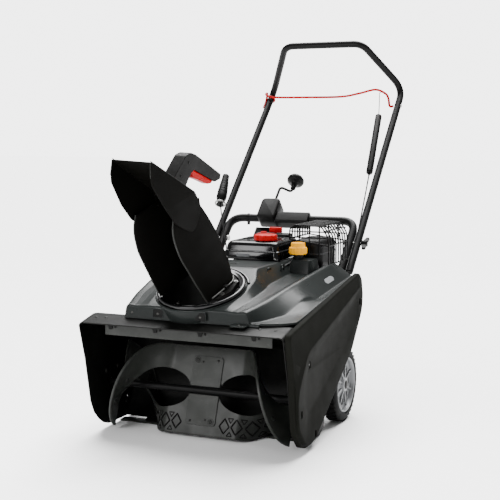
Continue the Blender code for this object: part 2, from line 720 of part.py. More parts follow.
def chute_grip():
    """Pistol grip bolted to the deflector, hollowed for its trigger."""
    hinge = DEFLECTOR_HINGE[1:]
    grip = outline("chute_grip", GRIP_OUTLINE, -0.0175, 0.0175, CHUTE_PLASTIC, parent=CHUTE_FRAME,
                   pivot=hinge)
    cut(grip, outline("slot", TRIGGER_SLOT, -0.0112, 0.0112, None, parent=CHUTE_FRAME,
                      pivot=hinge))
    return to_mesh(grip)


def trigger():
    return outline("trigger", TRIGGER_OUTLINE, -0.0100, 0.0100, RED_PLASTIC, parent=CHUTE_FRAME,
                   pivot=(0.065, 0.280))


# ---------------------------------------------------------------- engine
def engine_block():
    """Crankcase with the boss in front that carries the crankshaft."""
    block = to_mesh(box("engine_block", (-0.070, 0.468, DECK_Z + 0.0025), (0.172, 0.600, 0.3840),
                        CAST, edge=0.008))
    boss = box("boss", (0.060, 0.405, 0.262), (0.1720, 0.480, 0.378), None, edge=0.006)
    join(block, to_mesh(boss))
    return to_mesh(block)


def engine_pulley():
    """Small V pulley on the end of the crankshaft, made with its shaft."""
    h = PULLEY_WIDTH / 2.0
    r = ENGINE_PULLEY_RADIUS
    floor = r - BELT_DEPTH
    inner = 0.1730 - PULLEY_X
    profile = [(0.0020, h), (r, h), (r, h - 0.0014), (floor, h - 0.0018), (floor, -h + 0.0018),
               (r, -h + 0.0014), (r, -h), (0.0090, -h), (0.0090, inner), (0.0020, inner)]
    place = (PULLEY_X, ENGINE_SHAFT_Y, ENGINE_SHAFT_Z)
    return lathe("engine_pulley", profile, place, (1.0, 0.0, 0.0), ZINC, steps=16)


def cylinder_head():
    """Finned cylinder: a core with plate fins joined to it."""
    core = box("cylinder_head", (0.045, 0.6005, 0.270), (0.130, 0.688, 0.352), CAST)
    for k in range(6):
        y = 0.610 + 0.0135 * k
        join(core, box("fin", (0.030, y, 0.256), (0.145, y + 0.0035, 0.366), None))
    return to_mesh(core)


def recoil_housing():
    """Drum-shaped starter housing on the engine's end, open towards the block."""
    centre = (-0.0715, 0.530, 0.312)
    profile = [(0.074, 0.0), (0.072, 0.048), (0.060, 0.060), (0.006, 0.062), (0.006, 0.059),
               (0.058, 0.057), (0.069, 0.046), (0.071, 0.0)]
    return lathe("recoil_housing", profile[::-1], centre, (-1.0, 0.0, 0.0), BLACK_STEEL, steps=24)


def carburettor_cover():
    return box("carburettor_cover", (-0.100, 0.6070, 0.330), (0.010, 0.672, 0.446), CHUTE_PLASTIC,
               edge=0.010)


TANK_CAP = (0.044, 0.450)


def fuel_tank():
    tank = box("fuel_tank", (-0.060, 0.4465, 0.3880), (0.088, 0.600, 0.4300), CHUTE_PLASTIC)
    x, y = TANK_CAP
    join(tank, cylinder("neck", 0.0180, (x, y + 0.019, 0.42), (x, y + 0.019, 0.4925), None, 24))
    cut(tank, cylinder("filler", 0.0150, (x, y + 0.019, 0.40), (x, y + 0.019, 0.50), None, 24))
    return to_mesh(tank)


def engine_cover():
    """Gloss top cover with a chamfered rim, hollow underneath."""
    cover = box("engine_cover", (-0.068, 0.420, 0.4345), (0.102, 0.606, 0.4860), GLOSS_PLASTIC,
                edge=0.009, segments=2)
    cover = to_mesh(cover)
    cut(cover, box("inside", (-0.064, 0.424, 0.42), (0.098, 0.602, 0.4820), None))
    x, y = TANK_CAP
    cut(cover, cylinder("neck_hole", 0.0195, (x, y + 0.019, 0.47), (x, y + 0.019, 0.50), None, 24))
    return to_mesh(cover)


def fuel_cap():
    """Scalloped cap, hollow over the filler neck."""
    x, y = TANK_CAP
    centre = (x, y + 0.019)
    cap = cylinder("fuel_cap", 0.0330, (*centre, 0.4870), (*centre, 0.5100), RED_PLASTIC, 32,
                   pivot=(*centre, 0.4870))
    for k in range(10):
        angle = 2.0 * math.pi * k / 10
        spot = (centre[0] + 0.0385 * math.cos(angle), centre[1] + 0.0385 * math.sin(angle))
        cut(cap, cylinder("scallop", 0.0070, (*spot, 0.48), (*spot, 0.52), None, 10))
    cut(cap, cylinder("inside", 0.0186, (*centre, 0.47), (*centre, 0.5030), None, 24))
    return to_mesh(cap)


OIL_FILL = (0.149, 0.4500)


def oil_fill():
    x, y = OIL_FILL
    neck = lathe("oil_fill_tube", [(0.0140, 0.4560), (0.0140, 0.3786), (0.0105, 0.3786),
                                   (0.0105, 0.4560)], (x, y, 0.0), (0.0, 0.0, 1.0), CHUTE_PLASTIC,
                 steps=24)
    cap = [(0.0180, 0.4870), (0.0240, 0.4780), (0.0250, 0.4720), (0.0250, 0.4480),
           (0.0146, 0.4480), (0.0146, 0.4780), (0.0010, 0.4780), (0.0010, 0.4870)]
    lathe("oil_cap", cap, (x, y, 0.0), (0.0, 0.0, 1.0), YELLOW_PLASTIC, steps=20)
    return neck


def choke_knob():
    """Red lever knob at the back of the cover, on a short stem."""
    x, y, z = (0.012, 0.628, 0.500)
    knob = box("choke_knob", (x - 0.020, y - 0.007, z - 0.006), (x + 0.020, y + 0.007, z + 0.010),
               RED_PLASTIC, edge=0.004, pivot=(x, y, z))
    knob = to_mesh(knob)
    join(knob, cylinder("stem", 0.0045, (x, y, 0.452), (x, y, z), None, 16))
    return to_mesh(knob)


def control_panel():
    """Raised black pod behind the cover that carries the choke."""
    pod = box("control_panel", (-0.052, 0.6068, 0.4470), (0.060, 0.655, 0.4930), CHUTE_PLASTIC,
              edge=0.006)
    pod = to_mesh(pod)
    cut(pod, cylinder("stem_room", 0.0050, (0.012, 0.628, 0.44), (0.012, 0.628, 0.51), None, 16))
    return to_mesh(pod)


def muffler():
    body = box("muffler", (0.110, 0.500, 0.4080), (0.200, 0.640, 0.4900), BLACK_STEEL, edge=0.020,
               segments=3)
    return to_mesh(body)


def muffler_guard():
    """Wire cage over the muffler, made as a grid turned into bars."""
    low = Vector((0.1060, 0.494, 0.4190))
    high = Vector((0.2230, 0.668, 0.5300))
    bm = bmesh.new()
    columns = 5
    arch = [(low.x, low.z + 0.07), (low.x, high.z - 0.012), (low.x + 0.016, high.z),
            ((low.x + high.x) / 2.0, high.z), (high.x - 0.022, high.z - 0.002),
            (high.x - 0.004, high.z - 0.030), (high.x, (low.z + high.z) / 2.0), (high.x, low.z)]
    rows = []
    for i in range(columns):
        y = low.y + (high.y - low.y) * i / (columns - 1)
        rows.append([bm.verts.new((x, y, z)) for x, z in arch])
    for first, second in zip(rows, rows[1:]):
        for k in range(len(arch) - 1):
            bm.faces.new((first[k], first[k + 1], second[k + 1], second[k]))
    obj = add_object("muffler_guard", finish_mesh(bm, "muffler_guard"), BLACK_STEEL)
    mod = obj.modifiers.new("bars", "WIREFRAME")
    mod.thickness = 0.0032
    mod.use_even_offset = False
    mod.use_boundary = True
    return to_mesh(obj)


# ---------------------------------------------------------------- handle
def lower_handle():
    foot = (LOWER_LEG_X, 0.560, leg_z(0.560))
    corner = (LOWER_LEG_X, CROSSBAR_Y, leg_z(CROSSBAR_Y))
    bar = tube("lower_handle", rounded(mirrored([foot, corner]), 0.046), LOWER_TUBE, BLACK_STEEL)
    return drill_for_bolts(bar)


def upper_handle():
    foot = (UPPER_LEG_X, LEG_FOOT_Y, LEG_FOOT_Z)
    bend = (UPPER_LEG_X + 0.0005, 1.226, leg_z(1.226))
    top = (0.134, 1.077, 1.078)
    path = rounded(mirrored([foot, bend, top]), 0.050, 4)
    bar = tube("upper_handle", path, UPPER_TUBE, BLACK_STEEL)
    return drill_for_bolts(bar)


def drill_for_bolts(bar):
    for side in (-1.0, 1.0):
        cut(bar, cylinder("bolt_hole", 0.0046, (side * 0.18, FOLD_Y, leg_z(FOLD_Y)),
                          (side * 0.25, FOLD_Y, leg_z(FOLD_Y)), None, sides=12))
    return to_mesh(bar)


def handle_bolt(name, side):
    """Carriage bolt through both handle tubes, on the fold axis."""
    z = leg_z(FOLD_Y)
    bolt = cylinder(name, 0.0040, (side * 0.190, FOLD_Y, z), (side * 0.264, FOLD_Y, z), ZINC, 12)
    join(bolt, cylinder("head", 0.0085, (side * 0.1885, FOLD_Y, z), (side * 0.1935, FOLD_Y, z),
                        None, 16))
    return to_mesh(bolt)


def wing_knob(name, side):
    """Two-winged nut with a stem against the outer tube."""
    z = leg_z(FOLD_Y)
    inner = UPPER_LEG_X + UPPER_TUBE + 0.0006
    knob = cylinder(name, 0.0085, (side * inner, FOLD_Y, z), (side * (inner + 0.020), FOLD_Y, z),
                    CHUTE_PLASTIC, 20, end_radius=0.0100, pivot=(side * inner, FOLD_Y, z))
    wing = [(-0.010, -0.004), (-0.020, -0.016), (-0.026, -0.015), (-0.029, -0.007), (-0.020, 0.004),
            (0.020, 0.004), (0.029, -0.007), (0.026, -0.015), (0.020, -0.016), (0.010, -0.004)]
    blade = bpy.data.curves.new("wing", "CURVE")
    blade.dimensions = "2D"
    blade.fill_mode = "BOTH"
    blade.extrude = 0.0045
    spline = blade.splines.new("POLY")
    spline.points.add(len(wing) - 1)
    for point, (across, out) in zip(spline.points, wing):
        point.co = (across, -out * side, 0.0, 1.0)
    spline.use_cyclic_u = True
    turn = Matrix.Rotation(math.radians(-62.0), 3, "X") @ Matrix.Rotation(math.radians(90.0), 3, "Z")
    place = (side * (inner + 0.0205), FOLD_Y, z)
    join(knob, to_mesh(add_object("wing", blade, None, place, turn.to_euler())))
    cut(knob, cylinder("bore", 0.0044, (side * (inner - 0.004), FOLD_Y, z),
                       (side * (inner + 0.0215), FOLD_Y, z), None, 12))
    return to_mesh(knob)


def bail():
    """Red wire lever across the handle, with an upturned hook at one end."""
    z = leg_z(BAIL_PIVOT_Y)
    inner = UPPER_LEG_X - UPPER_TUBE - 0.0030
    outer = UPPER_LEG_X + UPPER_TUBE + BAIL_WIRE + 0.0010
    bar_y = 1.176
    bar_z = 0.9115
    route = [(inner, BAIL_PIVOT_Y, z), (0.2070, 1.160, z + 0.001), (0.2010, 1.163, 0.905),
             (0.1860, 1.176, 0.921), (0.1500, 1.184, 0.934), (0.0950, 1.182, 0.9225),
             (0.0300, 1.178, 0.912), (-0.100, 1.176, bar_z), (-0.205, bar_y, 0.9130),
             (-0.240, 1.182, 0.9190), (-outer - 0.006, 1.200, 0.926), (-outer - 0.005, 1.210, 0.9265),
             (-outer, 1.186, 0.900), (-outer, 1.168, 0.8805), (-outer, BAIL_PIVOT_Y, z)]
    pivot = (0.0, BAIL_PIVOT_Y, z)
    return tube("bail", smooth_path(route, 3), BAIL_WIRE, RED_PAINT, rounding=1, pivot=pivot)


CABLE_TOP = Vector((0.168, 1.176, 0.918))
SLEEVE_TOP = Vector((0.1755, 1.140, 0.846))
SLEEVE_END = Vector((0.1975, 0.965, 0.662))
CABLE_END = Vector((0.2185, 0.765, 0.4665))


def control_cable():
    """Bail cable: a thin wire with a spring sleeve, then a wire down the leg."""
    pivot = tuple(CABLE_END)
    path = [SLEEVE_TOP, SLEEVE_TOP.lerp(SLEEVE_END, 0.35) + Vector((0.0, 0.004, -0.003)),
            SLEEVE_TOP.lerp(SLEEVE_END, 0.7) + Vector((0.0, 0.003, -0.002)), SLEEVE_END]
    upper = tube("bail_cable", smooth_path(path, 4), 0.0095, CHUTE_PLASTIC, rounding=2,
                 pivot=pivot)
    join(upper, tube("wire_top", [CABLE_TOP, SLEEVE_TOP.lerp(SLEEVE_END, 0.03)], 0.0011, None,
                     rounding=1))
    join(upper, tube("wire_low", [SLEEVE_END.lerp(SLEEVE_TOP, 0.03), CABLE_END], 0.0013, None,
                     rounding=1))
    to_mesh(upper)
    down = (CABLE_END - SLEEVE_END).normalized()
    route = [CABLE_END + down * 0.002, (0.2220, 0.735, 0.4350), (0.2270, 0.690, 0.3900),
             (0.2350, 0.630, 0.345), (0.2480, 0.580, 0.318), (0.2700, 0.500, 0.312)]
    tube("bail_cable_lower", smooth_path(route, 4), 0.0022, CHUTE_PLASTIC, rounding=2)


# ---------------------------------------------------------------- starter rope
GUIDE = Vector((-0.2665, 0.838, 0.5605))
ROPE_FOOT = Vector((-0.1190, 0.594, 0.354))
ROPE_OVER = Vector((-0.2325, 0.776, 0.5215))
ROPE_DIR = (GUIDE - ROPE_OVER).normalized()


def starter_rope():
    """Rope from the recoil drum, over the handle leg, up to the guide eye."""
    path = [ROPE_FOOT, ROPE_OVER - (ROPE_OVER - ROPE_FOOT) * 0.06, ROPE_OVER,
            GUIDE - ROPE_DIR * 0.0070]
    return tube("starter_rope", path, 0.0022, CORD, rounding=2)


def starter_grip():
    """Tapered grip sitting in its guide ring."""
    up = (Vector((-0.284, 0.925, 0.652)) - GUIDE).normalized()
    foot = GUIDE - ROPE_DIR * 0.0035
    body = cylinder("starter_grip", 0.0075, foot, foot + up * 0.030, CHUTE_PLASTIC, 20,
                    end_radius=0.0125, pivot=tuple(GUIDE))
    join(body, cylinder("upper", 0.0125, foot + up * 0.0295, foot + up * 0.118, None, 20,
                        end_radius=0.0085))
    return to_mesh(body)


def rope_guide():
    """Wire eye bolted through the handle leg."""
    up = (Vector((-0.284, 0.925, 0.652)) - GUIDE).normalized()
    steps = 20
    ring = 0.0160
    frame = axis_matrix(up)
    points = []
    for k in range(steps - 1):
        angle = 2.0 * math.pi * k / steps
        points.append(GUIDE + frame @ Vector((ring * math.cos(angle), ring * math.sin(angle), 0.0)))
    inward = Vector((-UPPER_LEG_X - UPPER_TUBE - 0.0012, 0.838, leg_z(0.838)))
    eye = tube("rope_guide", points, 0.0020, ZINC, rounding=1)
    nearest = min(points, key=lambda p: (p - inward).length)
    join(eye, cylinder("stem", 0.0024, inward, nearest, None, 10))
    return to_mesh(eye)


# ---------------------------------------------------------------- chute crank
def leg_frame_point(x, up_leg, off_leg):
    """A point measured from the crossbar: along the legs' slope and square to it."""
    base = Vector((x, CROSSBAR_Y, leg_z(CROSSBAR_Y)))
    return base + LEG_DIR * up_leg + LEG_UP * off_leg


LEG_TURN = Matrix((Vector((1.0, 0.0, 0.0)), LEG_DIR, LEG_UP)).transposed()


def leg_box(name, low, high, mat, edge):
    """A box in the handle legs' plane: x across, y up the legs, z square to them."""
    obj = box(name, low, high, mat, edge, pivot=(0.0, 0.0, 0.0))
    obj.location = leg_frame_point(0.0, 0.0, 0.0)
    obj.rotation_euler = LEG_TURN.to_euler()
    return to_mesh(obj)


CRANK_AXIS_X = -0.0820


def crossbar_hole(target, radius=LOWER_TUBE + GAP):
    cut(target, cylinder("bar_room", radius, leg_frame_point(-0.16, 0.0, 0.0),
                         leg_frame_point(0.16, 0.0, 0.0), None, 24))


def crank_parts():
    housing = leg_box("crank_gearbox", (-0.112, -0.016, -0.0285), (-0.050, 0.064, 0.0285),
                      CHUTE_PLASTIC, 0.009)
    crossbar_hole(housing)
    rod_off = -0.006
    cut(housing, cylinder("rod_room", 0.0050, leg_frame_point(CRANK_AXIS_X, 0.028, rod_off),
                          leg_frame_point(CRANK_AXIS_X, 0.10, rod_off), None, 16))
    to_mesh(housing)
    cover = leg_box("crossbar_cover", (-0.0490, -0.026, -0.018), (0.058, 0.018, 0.0185),
                    CHUTE_PLASTIC, 0.007)
    crossbar_hole(cover)
    to_mesh(cover)
    path = [leg_frame_point(CRANK_AXIS_X, 0.030, rod_off), leg_frame_point(CRANK_AXIS_X, 0.142, rod_off),
            leg_frame_point(CRANK_AXIS_X + 0.043, 0.124, rod_off - 0.004),
            leg_frame_point(CRANK_AXIS_X + 0.043, 0.182, rod_off - 0.004)]
    axis_foot = tuple(leg_frame_point(CRANK_AXIS_X, 0.030, rod_off))
    tube("crank_rod", rounded(path, 0.009, 4), 0.0040, BLACK_STEEL, rounding=2, pivot=axis_foot)
    knob = [(0.0040, 0.052), (0.0165, 0.0485), (0.0235, 0.040), (0.0240, 0.034), (0.0200, 0.026),
            (0.0105, 0.020), (0.0075, 0.0), (0.0044, 0.0), (0.0044, 0.044), (0.0015, 0.046),
            (0.0015, 0.052)]
    lathe("crank_knob", knob, tuple(leg_frame_point(CRANK_AXIS_X + 0.043, 0.1385, rod_off - 0.004)),
          LEG_DIR, CHUTE_PLASTIC, steps=18)
    bracket = leg_box("crank_bracket", (-0.118, -0.085, -0.0162), (-0.048, -0.0265, -0.0132),
                      BLACK_STEEL, 0.0)
    return bracket


def cable_tie():
    """Plastic band round the crossbar with its square lock."""
    band = lathe("cable_tie", [(0.0147, 0.0025), (0.0147, -0.0025), (LOWER_TUBE + GAP, -0.0025),
                               (LOWER_TUBE + GAP, 0.0025)],
                 tuple(leg_frame_point(-0.148, 0.0, 0.0)), (1.0, 0.0, 0.0), CHUTE_PLASTIC, steps=14)
    band = to_mesh(band)
    base = leg_frame_point(-0.148, 0.0, 0.0)
    join(band, box("lock", base + Vector((-0.0035, -0.004, -0.0215)),
                   base + Vector((0.0035, 0.004, -0.0133)), None))
    return to_mesh(band)


# ---------------------------------------------------------------- assembly
def build():
    auger_housing()
    scraper_bar()
    intake_lip()
    chassis_frame()
    axle()
    wheel("left", 1.0)
    wheel("right", -1.0)
    auger_shaft()
    auger_paddle("auger_paddle_upper", 70.0)
    auger_paddle("auger_paddle_lower", 250.0)
    auger_plate("auger_plate_upper", 70.0, -1.0)
    auger_plate("auger_plate_lower", 250.0, 1.0)
    bearing("left_auger_bearing", 1.0)
    bearing("right_auger_bearing", -1.0)
    pulley("auger_pulley", AUGER_PULLEY_RADIUS, SHAFT_RADIUS + GAP, AUGER_Y, AUGER_Z, ZINC)
    drive_belt()
    idler()
    belt_cover()
    right_side_cover()
    body_shroud()
    chute_ring()
    chute()
    deflector()
    chute_grip()
    trigger()
    engine_block()
    engine_pulley()
    cylinder_head()
    recoil_housing()
    carburettor_cover()
    fuel_tank()
    engine_cover()
    fuel_cap()
    oil_fill()
    control_panel()
    choke_knob()
    muffler()
    muffler_guard()
    lower_handle()
    upper_handle()
    for name, side in (("left", 1.0), ("right", -1.0)):
        handle_bolt(name + "_handle_bolt", side)
        wing_knob(name + "_wing_knob", side)
    bail()
    control_cable()
    starter_rope()
    starter_grip()
    rope_guide()
    crank_parts()
    cable_tie()


build()
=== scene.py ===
"""Look of the single stage snowblower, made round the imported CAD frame.

Shapes are written in the machine's own frame, as in part.py: x = 0 on the middle plane, y = 0 at
the hood's front edge, z = 0 on the ground, metres. OFFSET moves that frame onto the row's frame.
"""
import json
import math

import bmesh
import bpy
from mathutils import Matrix, Vector


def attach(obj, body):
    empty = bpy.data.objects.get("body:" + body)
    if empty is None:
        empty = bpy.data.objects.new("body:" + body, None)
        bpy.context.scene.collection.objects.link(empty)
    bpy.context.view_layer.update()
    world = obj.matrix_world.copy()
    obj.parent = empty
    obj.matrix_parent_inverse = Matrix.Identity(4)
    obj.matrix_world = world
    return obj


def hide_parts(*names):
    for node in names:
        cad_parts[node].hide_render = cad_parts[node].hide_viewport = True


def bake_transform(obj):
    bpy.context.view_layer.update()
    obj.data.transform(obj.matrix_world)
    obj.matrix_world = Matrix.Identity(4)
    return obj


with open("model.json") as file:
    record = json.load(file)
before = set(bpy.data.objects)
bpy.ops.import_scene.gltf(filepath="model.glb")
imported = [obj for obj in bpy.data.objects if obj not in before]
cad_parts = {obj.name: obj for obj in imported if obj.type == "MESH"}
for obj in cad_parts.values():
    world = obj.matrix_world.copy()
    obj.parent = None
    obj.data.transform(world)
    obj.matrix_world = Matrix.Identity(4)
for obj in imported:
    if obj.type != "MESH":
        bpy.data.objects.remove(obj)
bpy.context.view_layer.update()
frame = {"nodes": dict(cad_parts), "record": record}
JOINTS = {joint["name"]: joint for joint in frame["record"]["behaviour"]["joints"]}
AUGER_YZ = (0.16, 0.1185)
AUGER_AXIS = Vector((0.0, *AUGER_YZ))
WHEEL_YZ = (0.438, 0.1015)
OIL_HOLE = (0.149, 0.45)
FUEL_HOLE = (0.044, 0.469)
HINGE = (-0.05, 0.24)
FOLD_Y = 0.735
PIN_Y = 0.655
PIN_Z = 0.383
LEG_SLOPE = 1.031
BAR_Y = 0.797
BAIL_Y = 1.165
CAMERA_PLACE = (1.1555, -2.2541, 0.7829)
CAMERA_TARGET = (0.0892, 0.25, 0.4832)
CAMERA_LENS = 75.3
SKY_SEEN = 4.6
SKY_LIGHT = 0.5
SUN_LIGHT = 14.6
KEY_POWER = 75.0
RIM_POWER = 16.0
FLOOR_REACH = 30.0
FLOOR_GAP = 0.0006
SIDES = (-1.0, 1.0)
LUG_COUNT = 40
LUG_LEAN = 16.0
HALF_WIDTH = 0.2812
SHEET = 0.0028
BORE = 0.105
PADDLE_TIP = 0.1165
PADDLE_HALF = 0.25
RECOIL_YZ = (0.53, 0.312)
CRANK_XZ = (-0.082, -0.006)
OFFSET = Vector(JOINTS["auger_spin"]["pos_m"]) - AUGER_AXIS


# ---------------------------------------------------------------- camera, light and floor
def add_camera():
    data = bpy.data.cameras.new("camera")
    data.lens = CAMERA_LENS
    data.sensor_width = 36.0
    camera = bpy.data.objects.new("camera", data)
    camera.location = Vector(CAMERA_PLACE) + OFFSET
    look = Vector(CAMERA_TARGET) + OFFSET - camera.location
    camera.rotation_euler = look.to_track_quat("-Z", "Y").to_euler()
    bpy.context.collection.objects.link(camera)
    bpy.context.scene.camera = camera


def add_area(name, place, target, size, power):
    data = bpy.data.lights.new(name, "AREA")
    data.shape = "RECTANGLE"
    data.size, data.size_y = size
    data.energy = power
    light = bpy.data.objects.new(name, data)
    light.location = place
    light.rotation_euler = (Vector(target) - Vector(place)).to_track_quat("-Z", "Y").to_euler()
    bpy.context.collection.objects.link(light)


def add_sun(name, direction, strength, spread):
    data = bpy.data.lights.new(name, "SUN")
    data.energy = strength
    data.angle = math.radians(spread)
    light = bpy.data.objects.new(name, data)
    light.rotation_euler = Vector(direction).to_track_quat("-Z", "Y").to_euler()
    bpy.context.collection.objects.link(light)


def add_studio():
    """White cyclorama seen by the camera, with dimmer surroundings for reflections."""
    world = bpy.data.worlds.new("studio")
    world.use_nodes = True
    nodes, links = world.node_tree.nodes, world.node_tree.links
    sky = nodes["Background"]
    sky.inputs["Color"].default_value = (1.0, 1.0, 1.0, 1.0)
    path = nodes.new("ShaderNodeLightPath")
    level = nodes.new("ShaderNodeMapRange")
    level.inputs["To Min"].default_value = SKY_LIGHT
    level.inputs["To Max"].default_value = SKY_SEEN
    links.new(path.outputs["Is Camera Ray"], level.inputs["Value"])
    links.new(level.outputs["Result"], sky.inputs["Strength"])
    bpy.context.scene.world = world
    add_sun("overhead", (0.1, -0.42, -1.0), SUN_LIGHT, 55.0)
    add_area("key", (-0.7, -2.9, 1.3), (0.0, -0.5, 0.15), (1.6, 0.9), KEY_POWER)
    add_area("rim", (-0.6, 2.2, 2.1), (0.0, 0.0, 0.5), (1.8, 0.5), RIM_POWER)
    mesh = bpy.data.meshes.new("studio_floor")
    corners = [(FLOOR_REACH * a, FLOOR_REACH * b, 0.0) for a, b in ((-1, -1), (1, -1), (1, 1),
        (-1, 1))]
    mesh.from_pydata(corners, [], [(0, 1, 2, 3)])
    floor = bpy.data.objects.new("studio_floor", mesh)
    floor.location.z = -FLOOR_GAP
    bpy.context.collection.objects.link(floor)
    mesh.materials.append(surface("floor_white", (0.93, 0.93, 0.93), 0.75, mottle=0.004, grain=0.0,
        shine=0.0))


# ---------------------------------------------------------------- materials
def surface(name, colour, rough, metal=0.0, mottle=0.15, mottle_scale=9.0, grain=0.12,
        grain_scale=900.0, rough_spread=0.08, coat=0.0, dust=0.0, scratch=0.0, shine=0.35):
    """Procedural finish: mottled colour, uneven gloss, fine grain, light dust and scratches."""
    mat = bpy.data.materials.new(name)
    mat.use_nodes = True
    nodes, links = mat.node_tree.nodes, mat.node_tree.links
    shader = nodes["Principled BSDF"]
    shader.inputs["Metallic"].default_value = metal
    shader.inputs["IOR"].default_value = 1.48
    shader.inputs["Specular IOR Level"].default_value = shine
    shader.inputs["Coat Weight"].default_value = coat
    shader.inputs["Coat Roughness"].default_value = 0.12
    coords = nodes.new("ShaderNodeTexCoord")

    def noise(scale, detail, stretch=None):
        node = nodes.new("ShaderNodeTexNoise")
        node.inputs["Scale"].default_value = scale
        node.inputs["Detail"].default_value = detail
        source = coords.outputs["Object"]
        if stretch is not None:
            mapping = nodes.new("ShaderNodeMapping")
            mapping.inputs["Scale"].default_value = stretch
            links.new(source, mapping.inputs["Vector"])
            source = mapping.outputs["Vector"]
        links.new(source, node.inputs["Vector"])
        return node.outputs["Fac"]

    def remap(value, low, high, to_low, to_high):
        node = nodes.new("ShaderNodeMapRange")
        node.inputs["From Min"].default_value = low
        node.inputs["From Max"].default_value = high
        node.inputs["To Min"].default_value = to_low
        node.inputs["To Max"].default_value = to_high
        links.new(value, node.inputs["Value"])
        return node.outputs["Result"]

    def mix(factor, first, second):
        node = nodes.new("ShaderNodeMix")
        node.data_type = "RGBA"
        links.new(factor, node.inputs[0])
        for socket, value in ((node.inputs[6], first), (node.inputs[7], second)):
            if isinstance(value, tuple):
                socket.default_value = (*value, 1.0)
            else:
                links.new(value, socket)
        return node.outputs[2]

    dark = tuple(c * (1.0 - mottle) for c in colour)
    light = tuple(min(1.0, c * (1.0 + mottle)) for c in colour)
    tint = mix(remap(noise(mottle_scale, 5.0), 0.35, 0.65, 0.0, 1.0), dark, light)
    gloss = remap(noise(mottle_scale * 2.7, 6.0), 0.3, 0.7, max(0.03, rough - rough_spread),
        min(1.0, rough + rough_spread))
    if scratch > 0.0:
        lines = remap(noise(60.0, 8.0, (1.0, 9.0, 2.0)), 0.62, 0.72, 0.0, scratch)
        tint = mix(lines, tint, tuple(min(1.0, c * 2.0 + 0.05) for c in colour))
    if dust > 0.0:
        speck = remap(noise(34.0, 9.0), 0.48, 0.78, 0.0, dust)
        tint = mix(speck, tint, (0.42, 0.41, 0.39))
    links.new(tint, shader.inputs["Base Color"])
    links.new(gloss, shader.inputs["Roughness"])
    if grain > 0.0:
        bump = nodes.new("ShaderNodeBump")
        bump.inputs["Strength"].default_value = grain
        bump.inputs["Distance"].default_value = 0.0006
        links.new(noise(grain_scale, 3.0), bump.inputs["Height"])
        links.new(bump.outputs["Normal"], shader.inputs["Normal"])
    return mat


MATS = {
    "black_painted_steel": surface("black_paint", (0.0024, 0.0024, 0.0024), 0.42, grain=0.0,
                                   mottle=0.1, rough_spread=0.03, shine=0.08),
    "housing_paint": surface("housing_paint", (0.0025, 0.0026, 0.0023), 0.45, grain=0.03,
                             dust=0.006, scratch=0.05, shine=0.07),
    "grey_painted_steel": surface("grey_paint", (0.017, 0.018, 0.0165), 0.42, dust=0.015,
                                  scratch=0.1, shine=0.12, grain=0.04),
    "zinc_plated_steel": surface("zinc", (0.22, 0.22, 0.215), 0.34, metal=1.0, mottle=0.25),
    "dark_steel": surface("dark_steel", (0.035, 0.035, 0.033), 0.36, metal=1.0, mottle=0.2,
                          grain=0.02),
    "cast_aluminium": surface("cast_aluminium", (0.04, 0.041, 0.042), 0.5, metal=0.75,
                              grain=0.35, grain_scale=500.0, dust=0.02),
    "charcoal_plastic": surface("charcoal_plastic", (0.0086, 0.0102, 0.0097), 0.29, mottle=0.04,
                                grain=0.0, rough_spread=0.02, shine=0.085),
    # Side-cover plastic: a darker copy of the charcoal plastic; the darker colour is painted shade
    # for the covers' sideways faces.
    "cover_plastic_painted_shade": surface("cover_plastic_painted_shade", (0.0054, 0.0056, 0.0047), 0.55, mottle=0.05,
                             grain=0.02, rough_spread=0.04, shine=0.008),
    "black_plastic": surface("black_plastic", (0.0026, 0.0026, 0.0024), 0.42, grain=0.02,
                             mottle=0.12, shine=0.07),
    "chute_plastic": surface("chute_plastic", (0.0019, 0.0018, 0.0015), 0.45, grain=0.02,
                             mottle=0.12, shine=0.018),
    # Grey plastic for the bolts; on the chute and deflector edge beads its lighter colour is
    # painted highlight.
    "grey_plastic": surface("grey_plastic", (0.01, 0.0105, 0.0095), 0.42, grain=0.05,
                            shine=0.1),
    "gloss_black_plastic": surface("gloss_black", (0.0014, 0.0014, 0.0016), 0.12, mottle=0.05,
                                   grain=0.0, rough_spread=0.03, shine=0.26),
    "rubber": surface("auger_rubber", (0.0125, 0.0135, 0.012), 0.4, grain=0.08,
                      grain_scale=600.0, dust=0.012, shine=0.18),
    "tyre_rubber": surface("tyre_rubber", (0.003, 0.003, 0.003), 0.65, grain=0.1, shine=0.06),
    "silver_rim": surface("silver_rim", (0.135, 0.138, 0.142), 0.4, metal=0.35, mottle=0.05,
                          shine=0.2),
    "red_plastic": surface("red_plastic", (0.36, 0.0016, 0.003), 0.38, mottle=0.06, grain=0.0,
                           shine=0.06),
    "red_painted_wire": surface("red_wire", (0.26, 0.001, 0.0024), 0.5, mottle=0.1, grain=0.0,
                                shine=0.04),
    "yellow_plastic": surface("yellow_plastic", (0.72, 0.315, 0.0024), 0.42, mottle=0.05,
                              grain=0.0, shine=0.08),
    "cord": surface("cord", (0.008, 0.008, 0.008), 0.85, grain=0.4, grain_scale=1500.0,
                    shine=0.1),
    "badge": surface("badge_grey", (0.16, 0.165, 0.17), 0.45, mottle=0.04, grain=0.0, shine=0.1),
}


# ---------------------------------------------------------------- mesh bits: (verts, faces)
def merge(*bits):
    verts, faces = [], []
    for more_verts, more_faces in bits:
        start = len(verts)
        verts.extend(more_verts)
        faces.extend(tuple(i + start for i in face) for face in more_faces)
    return verts, faces


def moved(bit, matrix):
    verts, faces = bit
    return [matrix @ Vector(v) for v in verts], faces


def block(low, high):
    xs, ys, zs = zip(low, high)
    verts = [Vector((x, y, z)) for x in xs for y in ys for z in zs]
    faces = [(0, 1, 3, 2), (4, 6, 7, 5), (0, 4, 5, 1), (2, 3, 7, 6), (0, 2, 6, 4), (1, 5, 7, 3)]
    return verts, faces


